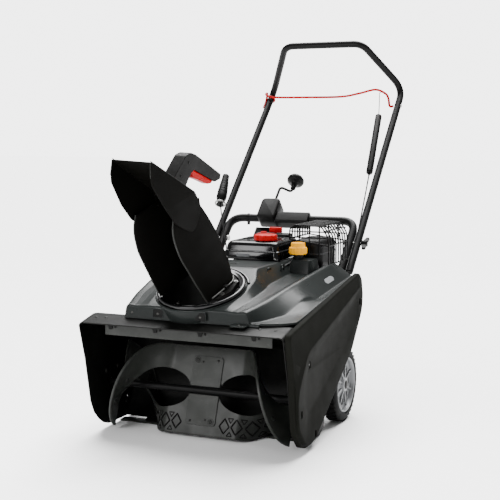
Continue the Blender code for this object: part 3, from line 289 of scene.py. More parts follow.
def loft(rows, closed=True, caps=True, ring=False):
    """Skin over rows of points; closed joins each row's ends, ring joins last row to first."""
    count = len(rows[0])
    verts = [Vector(p) for row in rows for p in row]
    faces = []
    lines = len(rows) if ring else len(rows) - 1
    for i in range(lines):
        j = (i + 1) % len(rows)
        for k in range(count if closed else count - 1):
            n = (k + 1) % count
            faces.append((i * count + k, i * count + n, j * count + n, j * count + k))
    if caps and closed and not ring:
        faces.append(tuple(reversed(range(count))))
        faces.append(tuple(range((len(rows) - 1) * count, len(rows) * count)))
    return verts, faces


def on_chute(bit):
    return moved(bit, CHUTE_FRAME)


def on_ring(bit):
    return moved(bit, RING_FRAME)


def on_bar(bit):
    return moved(bit, BAR_FRAME)


def turn_to(axis):
    return Vector((0.0, 0.0, 1.0)).rotation_difference(Vector(axis)).to_matrix()


def turned(profile, origin, axis, steps=48, closed=False):
    """Lathe a (radius, height) line about an axis; a radius of 0 closes the end."""
    rotate = turn_to(axis)
    rows = []
    for k in range(steps):
        a = math.tau * k / steps
        rows.append([Vector(origin) + rotate @ Vector((r * math.cos(a), r * math.sin(a), h))
            for r, h in profile])
    return loft(rows, closed=closed, caps=False, ring=True)


def rod(start, end, radius, end_radius=None, sides=24, edge=0.0):
    """Round bar with flat ends and, if asked, a small rounding on the ends."""
    start, end = Vector(start), Vector(end)
    length = (end - start).length
    top = radius if end_radius is None else end_radius
    profile = [(0.0, 0.0), (radius - edge, 0.0), (radius, edge), (top, length - edge),
        (top - edge, length), (0.0, length)]
    if edge == 0.0:
        profile = [(0.0, 0.0), (radius, 0.0), (top, length), (0.0, length)]
    return turned(profile, start, end - start, sides)


def sweep(points, radius, sides=14, caps=True):
    """Tube along points; radius is one number or one per point."""
    points = [Vector(p) for p in points]
    radii = radius if isinstance(radius, (list, tuple)) else [radius] * len(points)
    tangents = []
    for i in range(len(points)):
        before, after = points[max(0, i - 1)], points[min(len(points) - 1, i + 1)]
        tangents.append((after - before).normalized())
    side = tangents[0].orthogonal().normalized()
    rows = []
    for point, tangent, r in zip(points, tangents, radii):
        side = (side - tangent * side.dot(tangent)).normalized()
        other = tangent.cross(side)
        rows.append([point + (side * math.cos(a) + other * math.sin(a)) * r
            for a in (math.tau * k / sides for k in range(sides))])
    return loft(rows, caps=caps)


def prism(points, low, high, plane="yz"):
    """Flat outline pushed along the axis that its plane leaves out."""
    order = {"yz": (2, 0, 1), "xz": (0, 2, 1), "xy": (0, 1, 2)}[plane]
    return loft([[Vector([(p[0], p[1], t)[i] for i in order]) for p in points]
        for t in (low, high)])


def fillet(points, radius, steps=5, closed=True):
    """Round the corners of a line; radius is one number or one per corner."""
    points = [Vector(p) for p in points]
    count = len(points)
    radii = radius if isinstance(radius, (list, tuple)) else [radius] * count
    path = []
    for i, corner in enumerate(points):
        if not closed and i in (0, count - 1):
            path.append(corner)
            continue
        into = points[i - 1] - corner
        out = points[(i + 1) % count] - corner
        half = into.angle(out) / 2.0
        if radii[i] <= 0.0 or half > math.radians(89.0):
            path.extend([corner] * (steps + 1 if radii[i] > 0.0 else 1))
            continue
        reach = min(radii[i] / math.tan(half), into.length * 0.48, out.length * 0.48)
        a, b = corner + into.normalized() * reach, corner + out.normalized() * reach
        for k in range(steps + 1):
            t = k / steps
            path.append(a * (1 - t) ** 2 + corner * 2 * t * (1 - t) + b * t * t)
    return path


def catmull(points, steps=8):
    points = [Vector(p) for p in points]
    ends = [points[0] * 2 - points[1]] + points + [points[-1] * 2 - points[-2]]
    path = []
    for a, b, c, d in zip(ends, ends[1:], ends[2:], ends[3:]):
        for k in range(steps):
            t = k / steps
            path.append(0.5 * (2 * b + (c - a) * t + (2 * a - 5 * b + 4 * c - d) * t * t
                + (3 * b - a - 3 * c + d) * t ** 3))
    return path + [points[-1]]


def arc(centre, radius, start, end, steps):
    angles = [math.radians(start + (end - start) * k / steps) for k in range(steps + 1)]
    return [(centre[0] + radius * math.cos(a), centre[1] + radius * math.sin(a)) for a in angles]


def inset(points, distance):
    """Closed 2-D outline moved inwards, whichever way round it runs."""
    count = len(points)
    area = sum(points[i][0] * points[(i + 1) % count][1] - points[(i + 1) % count][0] * points[i][1]
        for i in range(count))
    sign = 1.0 if area > 0.0 else -1.0
    result = []
    for i, p in enumerate(points):
        before, after = Vector(points[i - 1][:2]), Vector(points[(i + 1) % count][:2])
        here = Vector(p[:2])
        first, second = (here - before).normalized(), (after - here).normalized()
        normal = Vector((-first.y, first.x)) + Vector((-second.y, second.x))
        if normal.length < 1e-6:
            normal = Vector((-first.y, first.x))
        normal.normalize()
        spread = max(0.4, normal.dot(Vector((-first.y, first.x))))
        result.append(here + normal * sign * distance / spread)
    return result


def lifted(points, z):
    """Flat outline at a height."""
    return [Vector((p[0], p[1], z)) for p in points]


def shrunk(points, radii, distance, steps=6):
    """Outline moved inwards before its corners are rounded, so that no corner folds over."""
    return fillet(inset(points, distance), radii, steps)


def dome_bolt(point, normal, radius=0.006, height=0.0035):
    profile = [(0.0, height), (radius * 0.45, height * 0.93), (radius * 0.8, height * 0.6),
        (radius, 0.0), (radius, -0.001), (0.0, -0.001)]
    return turned(profile, point, normal, 16)


def hex_bolt(point, normal, radius=0.006, height=0.004):
    washer = turned([(0.0, 0.0012), (radius * 1.45, 0.0012), (radius * 1.5, 0.0), (0.0, 0.0)],
        point, normal, 20)
    head = turned([(0.0, height), (radius * 0.9, height), (radius, height - 0.0006),
        (radius, 0.0008), (0.0, 0.0008)], point, normal, 6)
    return merge(washer, head)


# ---------------------------------------------------------------- objects
def shape(name, bit, mat, smooth=32.0):
    """Turn a mesh bit into an object, placed in the row's frame."""
    mesh = bpy.data.meshes.new(name)
    mesh.from_pydata([tuple(v) for v in bit[0]], [], bit[1])
    bm = bmesh.new()
    bm.from_mesh(mesh)
    bmesh.ops.remove_doubles(bm, verts=bm.verts, dist=0.00002)
    bmesh.ops.dissolve_degenerate(bm, edges=bm.edges, dist=0.000001)
    bmesh.ops.recalc_face_normals(bm, faces=bm.faces)
    bm.to_mesh(mesh)
    bm.free()
    mesh.materials.append(MATS[mat])
    mesh.shade_smooth()
    mesh.set_sharp_from_angle(angle=math.radians(smooth))
    obj = bpy.data.objects.new(name, mesh)
    obj.location = OFFSET
    bpy.context.collection.objects.link(obj)
    return obj


def add_bevel(obj, width, segments, angle, harden):
    mod = obj.modifiers.new("bevel", "BEVEL")
    mod.width = width
    mod.segments = segments
    mod.limit_method = "ANGLE"
    mod.angle_limit = math.radians(angle)
    mod.harden_normals = harden


def make(name, bit, mat, body="chassis", replaces=(), smooth=32.0, bevel=0.0, segments=2,
        thick=None):
    """Make a piece that rides on a body."""
    obj = shape(name, bit, mat, smooth)
    if thick is not None:
        mod = obj.modifiers.new("thickness", "SOLIDIFY")
        mod.thickness = thick
        mod.offset = 0.0
        mod.use_even_offset = True
        mod.use_quality_normals = True
    if bevel > 0.0:
        add_bevel(obj, bevel, segments, 28.0, True)
    if body is not None:
        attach(obj, body)
    if replaces:
        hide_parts(*replaces)
    return obj


def bored(obj, *bits):
    """Cut shapes out of a piece and keep the result as its mesh."""
    helpers = []
    for i, bit in enumerate(bits):
        helper = shape("helper", bit, "cord")
        mod = obj.modifiers.new("cut%d" % i, "BOOLEAN")
        mod.object = helper
        mod.operation = "DIFFERENCE"
        mod.solver = "EXACT"
        helpers.append(helper)
    bpy.context.view_layer.update()
    graph = bpy.context.evaluated_depsgraph_get()
    mesh = bpy.data.meshes.new_from_object(obj.evaluated_get(graph), depsgraph=graph)
    obj.modifiers.clear()
    obj.data = mesh
    mesh.shade_smooth()
    mesh.set_sharp_from_angle(angle=math.radians(35.0))
    for helper in helpers:
        bpy.data.objects.remove(helper, do_unlink=True)
    return obj


def keep(mat, *names, bevel=0.0):
    """Show a CAD node as it is, with a better finish."""
    for name in names:
        obj = frame["nodes"][name]
        obj.data.materials.clear()
        obj.data.materials.append(MATS[mat])
        if bevel > 0.0:
            add_bevel(obj, bevel, 2, 30.0, False)


# ---------------------------------------------------------------- directions used by many parts
RING_CENTRE = Vector((0.0, 0.14, 0.392))
RING_TURN = Matrix.Rotation(math.radians(19.0), 3, "X")
CHUTE_TURN = RING_TURN @ Matrix.Rotation(math.radians(-8.5), 3, "Z")
RING_FRAME = Matrix.Translation(RING_CENTRE) @ RING_TURN.to_4x4()
CHUTE_FRAME = Matrix.Translation(RING_CENTRE) @ CHUTE_TURN.to_4x4()
LEG_DIR = Vector((0.0, LEG_SLOPE, 1.0)).normalized()
LEG_OUT = Vector((0.0, -LEG_DIR.z, LEG_DIR.y))


def leg_z(y):
    """Height of the handle's legs at depth y."""
    return PIN_Z + (y - PIN_Y) / LEG_SLOPE


def leg_point(x, y):
    return Vector((x, y, leg_z(y)))


def axes(first, second, third):
    """Turn whose columns are the three directions."""
    return Matrix((first, second, third)).transposed().to_4x4()


X_DIR = Vector((1.0, 0.0, 0.0))
BAR_FRAME = Matrix.Translation(leg_point(0.0, BAR_Y)) @ axes(X_DIR, LEG_DIR, LEG_OUT)


# ---------------------------------------------------------------- intake housing
HOOD_LINE = [(0.0, 0.308), (0.064, 0.322), (0.08, 0.3205), (0.13, 0.3), (0.205, 0.276),
    (0.256, 0.23)]


def hood_path():
    """Hood line with soft corners, continued by the arc behind the auger."""
    path = fillet(HOOD_LINE + [(0.2802, 0.1507)], 0.018, closed=False)
    return path[:-1] + arc(AUGER_YZ, 0.1245, 15.0, -60.0, 22)


def line_normals(path):
    normals = []
    for i in range(len(path)):
        a, b = path[max(0, i - 1)], path[min(len(path) - 1, i + 1)]
        along = (Vector(b) - Vector(a)).normalized()
        normals.append(Vector((-along.y, along.x)))
    return normals


def add_housing():
    path = hood_path()
    corner = 0.011
    rows = []
    for p, n in zip(path, line_normals(path)):
        outer, inner = [], []
        turns = [90.0 - 15.0 * k for k in range(7)] + [15.0 * k for k in range(7)]
        for i, turn in enumerate(turns):
            side = -1.0 if i < 7 else 1.0
            a = math.radians(turn)
            for line, r in ((outer, corner), (inner, corner - SHEET)):
                x = side * (HALF_WIDTH - corner + r * math.sin(a))
                depth = corner - r * math.cos(a)
                line.append(Vector((x, p[0] - n.x * depth, p[1] - n.y * depth)))
        rows.append(outer + inner[::-1])
    sheet = make("housing_sheet", loft(rows), "housing_paint", replaces=["auger_housing"],
        smooth=40.0)
    bore = rod(RING_FRAME @ Vector((0, 0, -0.16)), RING_FRAME @ Vector((0, 0, 0.03)), BORE,
        sides=72)
    bored(sheet, bore)
    neck = turned([(0.108, -0.15), (0.108, -0.0055), (0.105, -0.0055), (0.105, -0.15)], (0, 0, 0),
        (0, 0, 1), 72, closed=True)
    neck = make("housing_neck", on_ring(neck), "housing_paint")
    under = [(p[0] - n.x * 0.0015, p[1] - n.y * 0.0015) for p, n in zip(path,
        line_normals(path))] + [(0.1, 0.03)]
    bored(neck, prism(under, -0.27, 0.27))
    front = [(0.0, 0.3), (0.027, 0.206), (0.05, 0.09), (0.067, 0.055), (0.092, 0.03),
        (0.113, 0.016), (0.139, 0.007), (0.262, 0.0045), (0.3, 0.02), (0.3, 0.215), (0.258, 0.2245)]
    top = [(p[0] - n.x * 0.0105, p[1] - n.y * 0.0105) for p, n in zip(path[:30],
        line_normals(path)[:30]) if p[1] > 0.235]
    side_line = fillet(front, 0.012, 4, closed=False) + top[::-1]
    for name, low, high in (("left", HALF_WIDTH - SHEET, HALF_WIDTH),
            ("right", -HALF_WIDTH, SHEET - HALF_WIDTH)):
        plate = make("housing_side_" + name, prism(side_line, low, high), "housing_paint",
            bevel=0.0009)
        bored(plate, rod((low - 0.01, *AUGER_YZ), (high + 0.01, *AUGER_YZ), 0.0125))


def add_housing_details():
    heel = arc(AUGER_YZ, 0.1243, -58.0, -66.5, 4) + arc(AUGER_YZ, 0.1222, -66.5, -58.0, 4)
    make("housing_heel", prism(heel, -0.205, 0.277), "housing_paint")
    bits = []
    for side in SIDES:
        for y, z in ((0.19, 0.155), (0.13, 0.155), (0.16, 0.078), (0.235, 0.045), (0.255, 0.19)):
            bits.append(dome_bolt((side * 0.2782, y, z), (-side, 0, 0), 0.0065, 0.003))
        for y, z in ((0.235, 0.045), (0.255, 0.19)):
            bits.append(hex_bolt((side * 0.2813, y, z), (side, 0, 0), 0.0055))
    for x in (-0.252, -0.222, 0.205, 0.245):
        bits.append(dome_bolt((x, 0.04, 0.317), (0.0, -0.21, 0.978), 0.0045, 0.0016))
    make("housing_bolts", merge(*bits), "grey_plastic")
    bright = dome_bolt((-0.2782, 0.245, 0.06), (1, 0, 0), 0.0075, 0.004)
    make("housing_bright_bolt", bright, "zinc_plated_steel")
    strip = block((-0.2325, 0.05, 0.27), (0.2325, 0.0528, 0.315))
    make("hood_strip", strip, "grey_painted_steel", replaces=["intake_lip"], bevel=0.0008)
    clips = []
    for x in (-0.215, -0.086, 0.04, 0.185):
        wedge = [(x - 0.008, 0.299), (x + 0.008, 0.299), (x + 0.0038, 0.285), (x - 0.0038, 0.285)]
        clips.append(prism(wedge, 0.0462, 0.0499, "xz"))
        clips.append(block((x + 0.011, 0.047, 0.289), (x + 0.016, 0.0499, 0.295)))
    make("strip_clips", merge(*clips), "black_plastic", bevel=0.0006)
    keep("grey_painted_steel", "scraper_bar", bevel=0.0008)


# ---------------------------------------------------------------- auger
FACES = (0.0024, -0.0024)
PADDLES = (("upper", 70.0), ("lower", 250.0))


def blade_angle(x, start):
    reach = max(0.0, abs(x) - 0.1) / 0.15
    return start + math.radians(180.0) * min(1.0, reach) ** 1.6


def blade_inner(x):
    span = (abs(x) - 0.045) / 0.19
    if span <= 0.0:
        return 0.034
    return 0.0135 + 0.0385 * max(0.0, math.sin(math.pi * min(1.0, span ** 0.8))) ** 0.7


def blade_point(x, r, start, off=0.0):
    """Point on a paddle's middle surface, moved off it along its normal."""
    def raw(xx):
        a = blade_angle(xx, start)
        return AUGER_AXIS + Vector((xx, r * math.cos(a), r * math.sin(a)))
    a = blade_angle(x, start)
    radial = Vector((0.0, math.cos(a), math.sin(a)))
    along = (raw(x + 0.0005) - raw(x - 0.0005)).normalized()
    return raw(x) + along.cross(radial).normalized() * off


def blade_line(points, start, off, radius):
    """Raised rib that follows the blade between (x, r) points."""
    path = []
    for (x0, r0), (x1, r1) in zip(points, points[1:]):
        for k in range(5):
            t = k / 5
            path.append(blade_point(x0 + (x1 - x0) * t, r0 + (r1 - r0) * t, start, off))
    path.append(blade_point(*points[-1], start, off))
    return sweep(path, radius, 6)


def add_auger():
    for name, degrees in PADDLES:
        start = math.radians(degrees)
        rows = []
        for i in range(121):
            x = -PADDLE_HALF + 2.0 * PADDLE_HALF * i / 120
            inner = blade_inner(x)
            tip = max(0.0, abs(x) - 0.23) / 0.02
            inner += (PADDLE_TIP - inner - 0.03) * min(1.0, tip) ** 2 * 0.55
            front, back = [[blade_point(x, inner + (PADDLE_TIP - inner) * k / 9, start, off)
                for k in range(10)] for off in FACES]
            rows.append(front + back[::-1])
        make("paddle_" + name, loft(rows), "rubber", "auger", replaces=["auger_paddle_" + name],
            bevel=0.0007, smooth=50.0)
        rims = [sweep([blade_point(-0.244 + 0.488 * i / 100, 0.1142, start, off)
            for i in range(101)], 0.0013, 8) for off in FACES]
        make("paddle_bead_" + name, merge(*rims), "rubber", "auger")
    add_tread(math.radians(PADDLES[1][1]))
    add_auger_steel()


def add_tread(start):
    """Diamond tread and edge triangles on the lower paddle, as thin ribs in a plastic darker than
    the rubber; the dark colour is painted shade for the grooves between the raised cells.
    """
    bits = []
    for off in FACES:
        for side in SIDES:
            for i in range(5):
                x = 0.052 + 0.033 * i
                low = max(0.066, blade_inner(x + 0.0165) + 0.012)
                middle = (low + 0.106) / 2.0
                cell = [(x + 0.003, middle), (x + 0.0165, 0.104), (x + 0.03, middle),
                    (x + 0.0165, low)]
                bits.append(blade_line([(side * a, b) for a, b in cell + cell[:1]], start, off,
                    0.0022))
                if i < 4:
                    for r0, r1 in ((0.109, 0.0985), (low - 0.002, low + 0.01)):
                        small = [(x + 0.026, r0), (x + 0.04, r0), (x + 0.033, r1)]
                        bits.append(blade_line([(side * a, b) for a, b in small + small[:1]], start,
                            off, 0.0014))
    # The tread ribs' dark colour is painted shade for the grooves.
    make("paddle_tread_groove_shade", merge(*bits), "black_plastic", "auger")


def add_auger_steel():
    shaft = rod((-0.2875, *AUGER_YZ), (0.2985, *AUGER_YZ), 0.0095, sides=32, edge=0.001)
    make("auger_shaft_bar", shaft, "black_painted_steel", "auger", replaces=["auger_shaft"])
    for (name, degrees), side in zip(PADDLES, (1.0, -1.0)):
        a = math.radians(degrees)
        radial = Vector((0, math.cos(a), math.sin(a)))
        normal = Vector((0, -math.sin(a), math.cos(a)))
        place = Matrix.Translation(AUGER_AXIS) @ axes(X_DIR, radial, normal)
        outline = fillet(((-0.043, 0.011), (0.043, 0.011), (0.043, 0.084), (0.037, 0.09),
            (-0.037, 0.09), (-0.043, 0.084)), 0.004, 3)
        low, high = sorted((side * 0.003, side * 0.0056))
        plate = moved(prism(outline, low, high, "xy"), place)
        make("auger_clamp_" + name, plate, "grey_painted_steel", "auger",
            replaces=["auger_plate_" + name], bevel=0.0007)
        bits = []
        for x, r, size in ((-0.03, 0.079, 0.0055), (-0.014, 0.075, 0.0028), (0.029, 0.08, 0.0034)):
            x = x if side > 0.0 else -x
            spot = place @ Vector((x, r, side * 0.0056))
            bits.append(dome_bolt(spot, normal * side, size, 0.0024))
            if size > 0.005:
                bits.append(turned([(0.0, 0.0006), (0.0088, 0.0006), (0.0094, -0.0004),
                    (0, -0.0004)], spot, normal * side, 24))
            back = place @ Vector((x, r, -side * 0.0025))
            bits.append(hex_bolt(back, normal * -side, 0.0052, 0.004))
        for x in (-0.222, -0.196, 0.196, 0.222):
            r = 0.088 if abs(x) > 0.21 else 0.07
            for off in FACES:
                spot = blade_point(x, r, a, off)
                away = (blade_point(x, r, a, off * 2) - spot).normalized()
                bits.append(dome_bolt(spot, away, 0.0055, 0.0024))
        make("auger_bolts_" + name, merge(*bits), "grey_plastic", "auger")


# ---------------------------------------------------------------- wheels, frame, belt drive
def add_wheel(name, side):
    width = 0.045
    place = Matrix.Translation((side * 0.276, *WHEEL_YZ)) @ turn_to((side, 0, 0)).to_4x4()
    h = width / 2.0
    body = name + "_wheel"
    profile = [(0.0762, h - 0.003), (0.079, h - 0.0008), (0.084, h - 0.0002), (0.091, h - 0.0015),
        (0.0965, h - 0.005), (0.099, h - 0.01), (0.0995, 0.0), (0.099, -h + 0.01),
        (0.0965, -h + 0.005), (0.091, -h + 0.0015), (0.084, -h + 0.0002), (0.079, -h + 0.0008),
        (0.0762, -h + 0.003)]
    tyre = turned(profile, (0, 0, 0), (0, 0, 1), 96, closed=True)
    lugs = []
    for k in range(LUG_COUNT):
        for row, shift in ((-0.0105, 0.0), (0.0105, 0.5)):
            a = math.tau * (k + shift) / LUG_COUNT
            lug = block((0.0985, -0.005, row - 0.0075), (0.1014, 0.005, row + 0.0075))
            lean = Matrix.Rotation(a, 4, "Z") @ Matrix.Translation((0, 0, row)) @ Matrix.Rotation(
                math.radians(LUG_LEAN if row > 0 else -LUG_LEAN), 4,
                "X") @ Matrix.Translation((0, 0, -row))
            lugs.append(moved(lug, lean))
    make(name + "_tyre_carcass", moved(merge(tyre, *lugs), place), "tyre_rubber", body,
        replaces=[name + "_tyre"], bevel=0.0006, segments=1)
    rim = [(0.0757, h - 0.003), (0.074, h - 0.001), (0.0715, h - 0.0015), (0.0695, h - 0.005),
        (0.068, h - 0.012), (0.056, h - 0.015), (0.03, h - 0.0135), (0.021, h - 0.01),
        (0.019, h - 0.004), (0.016, h - 0.003), (0.0075, h - 0.003), (0.0075, -h + 0.004),
        (0.016, -h + 0.004), (0.019, -h + 0.006), (0.0205, h - 0.019), (0.056, h - 0.019),
        (0.068, h - 0.0165), (0.07, -h + 0.004), (0.074, -h + 0.001), (0.0757, -h + 0.003)]
    disc = make(name + "_rim_disc", moved(turned(rim, (0, 0, 0), (0, 0, 1), 96, closed=True),
        place), "silver_rim", body, replaces=[name + "_rim"], smooth=40.0)
    holes, ribs = [], []
    for k in range(8):
        a = math.tau * k / 8
        turn = place @ Matrix.Rotation(a, 4, "Z")
        oval = fillet(((0.04, -0.0085), (0.059, -0.0125), (0.059, 0.0125), (0.04, 0.0085)), 0.0065,
            5)
        holes.append(moved(prism(oval, -0.02, 0.02, "xy"), turn))
        rib_turn = turn @ Matrix.Rotation(math.pi / 8, 4, "Z")
        rib = fillet(((0.017, h - 0.0062), (0.03, h - 0.0085), (0.06, h - 0.011),
            (0.069, h - 0.006), (0.069, h - 0.017), (0.017, h - 0.017)), 0.003, 3)
        ribs.append(moved(prism(rib, -0.0026, 0.0026, "xz"), rib_turn))
    bored(disc, *holes)
    make(name + "_rim_ribs", merge(*ribs), "silver_rim", body, bevel=0.0008)
    cap = turned([(0.0, h + 0.0004), (0.008, h - 0.0002), (0.0118, h - 0.0016),
        (0.0126, h - 0.0045), (0.0, h - 0.0045)], (0, 0, 0), (0, 0, 1), 32)
    make(name + "_hub_cap", moved(cap, place), "black_plastic", body)


def add_frame_parts():
    keep("black_painted_steel", "chassis_frame", bevel=0.0008)
    keep("zinc_plated_steel", "axle", "auger_pulley", "engine_pulley", "idler_arm", "idler_pulley",
        "left_handle_bolt", "right_handle_bolt")
    keep("rubber", "drive_belt")
    keep("black_plastic", "left_auger_bearing", "right_auger_bearing")
    keep("black_painted_steel", "crank_bracket", bevel=0.0008)
    keep("black_plastic", "cable_tie", bevel=0.0003)
    bits = []
    for side in SIDES:
        for y, z in ((0.565, 0.312), (0.64, 0.336), (0.33, 0.235), (0.33, 0.11)):
            bits.append(hex_bolt((side * 0.1925, y, z), (side, 0, 0), 0.006, 0.0048))
    spot = BAR_FRAME @ Vector((-0.088, -0.05, -0.0131))
    bits.append(dome_bolt(spot, LEG_OUT, 0.0065, 0.0035))
    make("frame_bolts", merge(*bits), "zinc_plated_steel")


COVER_RIM = [(0.0, 0.313), (0.552, 0.397), (0.581, 0.373), (0.575, 0.288), (0.484, 0.187),
    (0.188, 0.014), (0.12, 0.01), (0.085, 0.022), (0.043, 0.066), (0.028, 0.204)]
COVER_ROUND = [0.016, 0.022, 0.03, 0.06, 0.08, 0.05, 0.04, 0.04, 0.06, 0.09]
COVER_FACE = [(0.11, 0.255), (0.534, 0.362), (0.56, 0.348), (0.556, 0.296), (0.462, 0.196),
    (0.172, 0.026), (0.128, 0.02), (0.094, 0.03), (0.05, 0.075), (0.038, 0.16)]
COVER_INNER = [(0.15, 0.25), (0.5, 0.338), (0.524, 0.32), (0.512, 0.275), (0.42, 0.217),
    (0.18, 0.11), (0.135, 0.095), (0.112, 0.1), (0.092, 0.13), (0.088, 0.19)]
FACE_ROUND = [0.06, 0.026, 0.024, 0.06, 0.08, 0.045, 0.036, 0.036, 0.06, 0.09]
INNER_ROUND = [0.05, 0.02, 0.016, 0.03, 0.08, 0.04, 0.03, 0.024, 0.03, 0.05]
COVER_SCREWS = ((0.126, 0.221), (0.067, 0.11), (0.168, 0.036), (0.535, 0.318))
RIM, FACE, INNER = ((COVER_RIM, COVER_ROUND), (COVER_FACE, FACE_ROUND), (COVER_INNER, INNER_ROUND))
COVER_FRONT = ((RIM, 0.0026, 0.2824), (RIM, 0.0, 0.2824), (RIM, 0.0, 0.2925), (RIM, 0.0006, 0.2945),
    (RIM, 0.0022, 0.2962), (RIM, 0.005, 0.2972), (FACE, -0.003, 0.3028), (FACE, -0.001, 0.3039),
    (FACE, 0.001, 0.3044), (FACE, 0.004, 0.3042), (INNER, 0.0, 0.3024), (INNER, 0.003, 0.3016))
COVER_BACK = ((INNER, 0.0, 0.2992), (FACE, 0.001, 0.3014), (RIM, 0.006, 0.295), (RIM, 0.003, 0.293))


def add_belt_cover():
    """Moulded cover: rolled rim, sloping band and a raised face, hollow behind."""
    rows, back = [[[Vector((x, p[0], p[1])) for p in shrunk(*line, distance)]
        for line, distance, x in levels] for levels in (COVER_FRONT, COVER_BACK)]
    verts, faces = loft(rows + back, caps=False, ring=False)
    count = len(rows[0])
    last = len(rows) - 1
    faces = [f for f in faces if not all(last * count <= i < (last + 2) * count for i in f)]
    faces.append(tuple(range(last * count, (last + 1) * count)))
    faces.append(tuple(range((last + 1) * count, (last + 2) * count)))
    end = (len(rows) + len(back) - 1) * count
    for k in range(count):
        faces.append((end + k, end + (k + 1) % count, (k + 1) % count, k))
    # The cover's darker plastic is painted shade for its sideways face.
    cover = make("belt_cover_shell", (verts, faces), "cover_plastic_painted_shade", replaces=["belt_cover"],
        smooth=26.0)
    holes = [prism(fillet([(y + a, z + b) for a, b in ((-0.0062, -0.0095), (0.0062, -0.0095),
        (0.0062, 0.0095), (-0.0062, 0.0095))], 0.0058, 5), 0.299, 0.31) for y, z in COVER_SCREWS]
    bored(cover, rod((0.2, *WHEEL_YZ), (0.3, *WHEEL_YZ), 0.1065, sides=64), *holes)
    bits = []
    for y, z in COVER_SCREWS:
        bits.append(turned([(0.0, 0.0026), (0.0022, 0.0024), (0.0036, 0.0012), (0.0038, 0.0),
            (0.0, 0.0)], (0.2978, y, z), (1, 0, 0), 20))
    make("belt_cover_screws", merge(*bits), "zinc_plated_steel")
    # Same darker plastic on the other side cover: painted shade.
    keep("cover_plastic_painted_shade", "right_side_cover", bevel=0.0008)


# ---------------------------------------------------------------- body shroud
def at(y, stations):
    for (y0, v0), (y1, v1) in zip(stations, stations[1:]):
        if y <= y1:
            t = max(0.0, (y - y0) / (y1 - y0))
            return v0 + (v1 - v0) * t
    return stations[-1][1]


def eased(y, stations, reach=0.012):
    """Station value averaged over a short stretch, so that kinks become bends."""
    values = [at(y + reach * k / 3.0, stations) for k in range(-3, 4)]
    return sum(values) / len(values)


DECK_Z = [(0.047, 0.3525), (0.255, 0.4242), (0.275, 0.432), (0.42, 0.433), (0.6, 0.433)]
DECK_X = [(0.047, 0.106), (0.14, 0.12), (0.22, 0.118), (0.27, 0.098), (0.33, 0.1), (0.6, 0.112)]
VALLEY_X = [(0.047, 0.128), (0.14, 0.142), (0.22, 0.142), (0.27, 0.134), (0.33, 0.136),
    (0.6, 0.146)]
VALLEY_Z = [(0.047, 0.3515), (0.14, 0.37), (0.22, 0.382), (0.28, 0.39), (0.42, 0.403), (0.6, 0.418)]
CREST_X = [(0.047, 0.164), (0.136, 0.187), (0.234, 0.201), (0.42, 0.216), (0.6, 0.232)]
CREST_Z = [(0.047, 0.3545), (0.136, 0.372), (0.234, 0.392), (0.42, 0.418), (0.5, 0.43),
    (0.53, 0.426), (0.6, 0.4)]
RIGHT_FOOT_X = [(0.047, 0.168), (0.075, 0.198), (0.14, 0.232), (0.3, 0.26), (0.6, 0.27)]
RIGHT_FOOT_Z = [(0.047, 0.3255), (0.14, 0.335), (0.3, 0.356), (0.6, 0.39)]
RIGHT_EDGE_X = [(0.047, 0.172), (0.065, 0.25), (0.09, 0.2805), (0.6, 0.2808)]
LEFT_FOOT_X = [(0.047, 0.168), (0.1, 0.19), (0.2, 0.222), (0.3, 0.2765), (0.6, 0.2765)]
LEFT_FOOT_Z = [(0.047, 0.3262), (0.075, 0.3262), (0.1, 0.32), (0.2, 0.296), (0.3, 0.318),
    (0.42, 0.345), (0.6, 0.37)]


def shroud_row(y):
    """Rounded cross-section of the hood at depth y."""
    dx, dz = eased(y, DECK_X), eased(y, DECK_Z, 0.008)
    vx, vz = eased(y, VALLEY_X), eased(y, VALLEY_Z)
    cx, cz = eased(y, CREST_X), eased(y, CREST_Z)
    rx, rz = eased(y, RIGHT_FOOT_X), eased(y, RIGHT_FOOT_Z)
    ex = max(rx + 0.004, eased(y, RIGHT_EDGE_X, 0.006))
    lx, lz = eased(y, LEFT_FOOT_X), eased(y, LEFT_FOOT_Z)
    vz = min(vz, cz - 0.0015, dz - 0.0008)
    line = [(-lx - 0.0012, lz - 0.004), (-lx, lz), (-cx, cz), (-cx + 0.022, min(cz, vz)), (-vx, vz),
        (-dx, dz), (dx, dz), (vx, vz), (cx - 0.02, min(cz, vz)), (cx, cz), (rx, rz),
        (ex, rz + 0.001), (ex + 0.0004, rz - 0.0035)]
    radii = [0.0, 0.006, 0.012, 0.014, 0.01, 0.01, 0.01, 0.01, 0.014, 0.012, 0.01, 0.003, 0.0]
    return fillet([Vector((x, z)) for x, z in line], radii, 6, closed=False)


def bump(value, centre, width):
    t = abs(value - centre) / width
    return 0.0 if t >= 1.0 else (1.0 - t * t) ** 2


def shroud_point(x, y, z):
    """Add the moulded swelling on the left slope."""
    if 0.195 < x < 0.285:
        z += 0.017 * bump(x, 0.24 - 0.05 * (y - 0.25), 0.03) * (bump(y, 0.262, 0.05) if y > 0.262
            else bump(y, 0.262, 0.13) ** 0.7)
    return Vector((x, y, z))


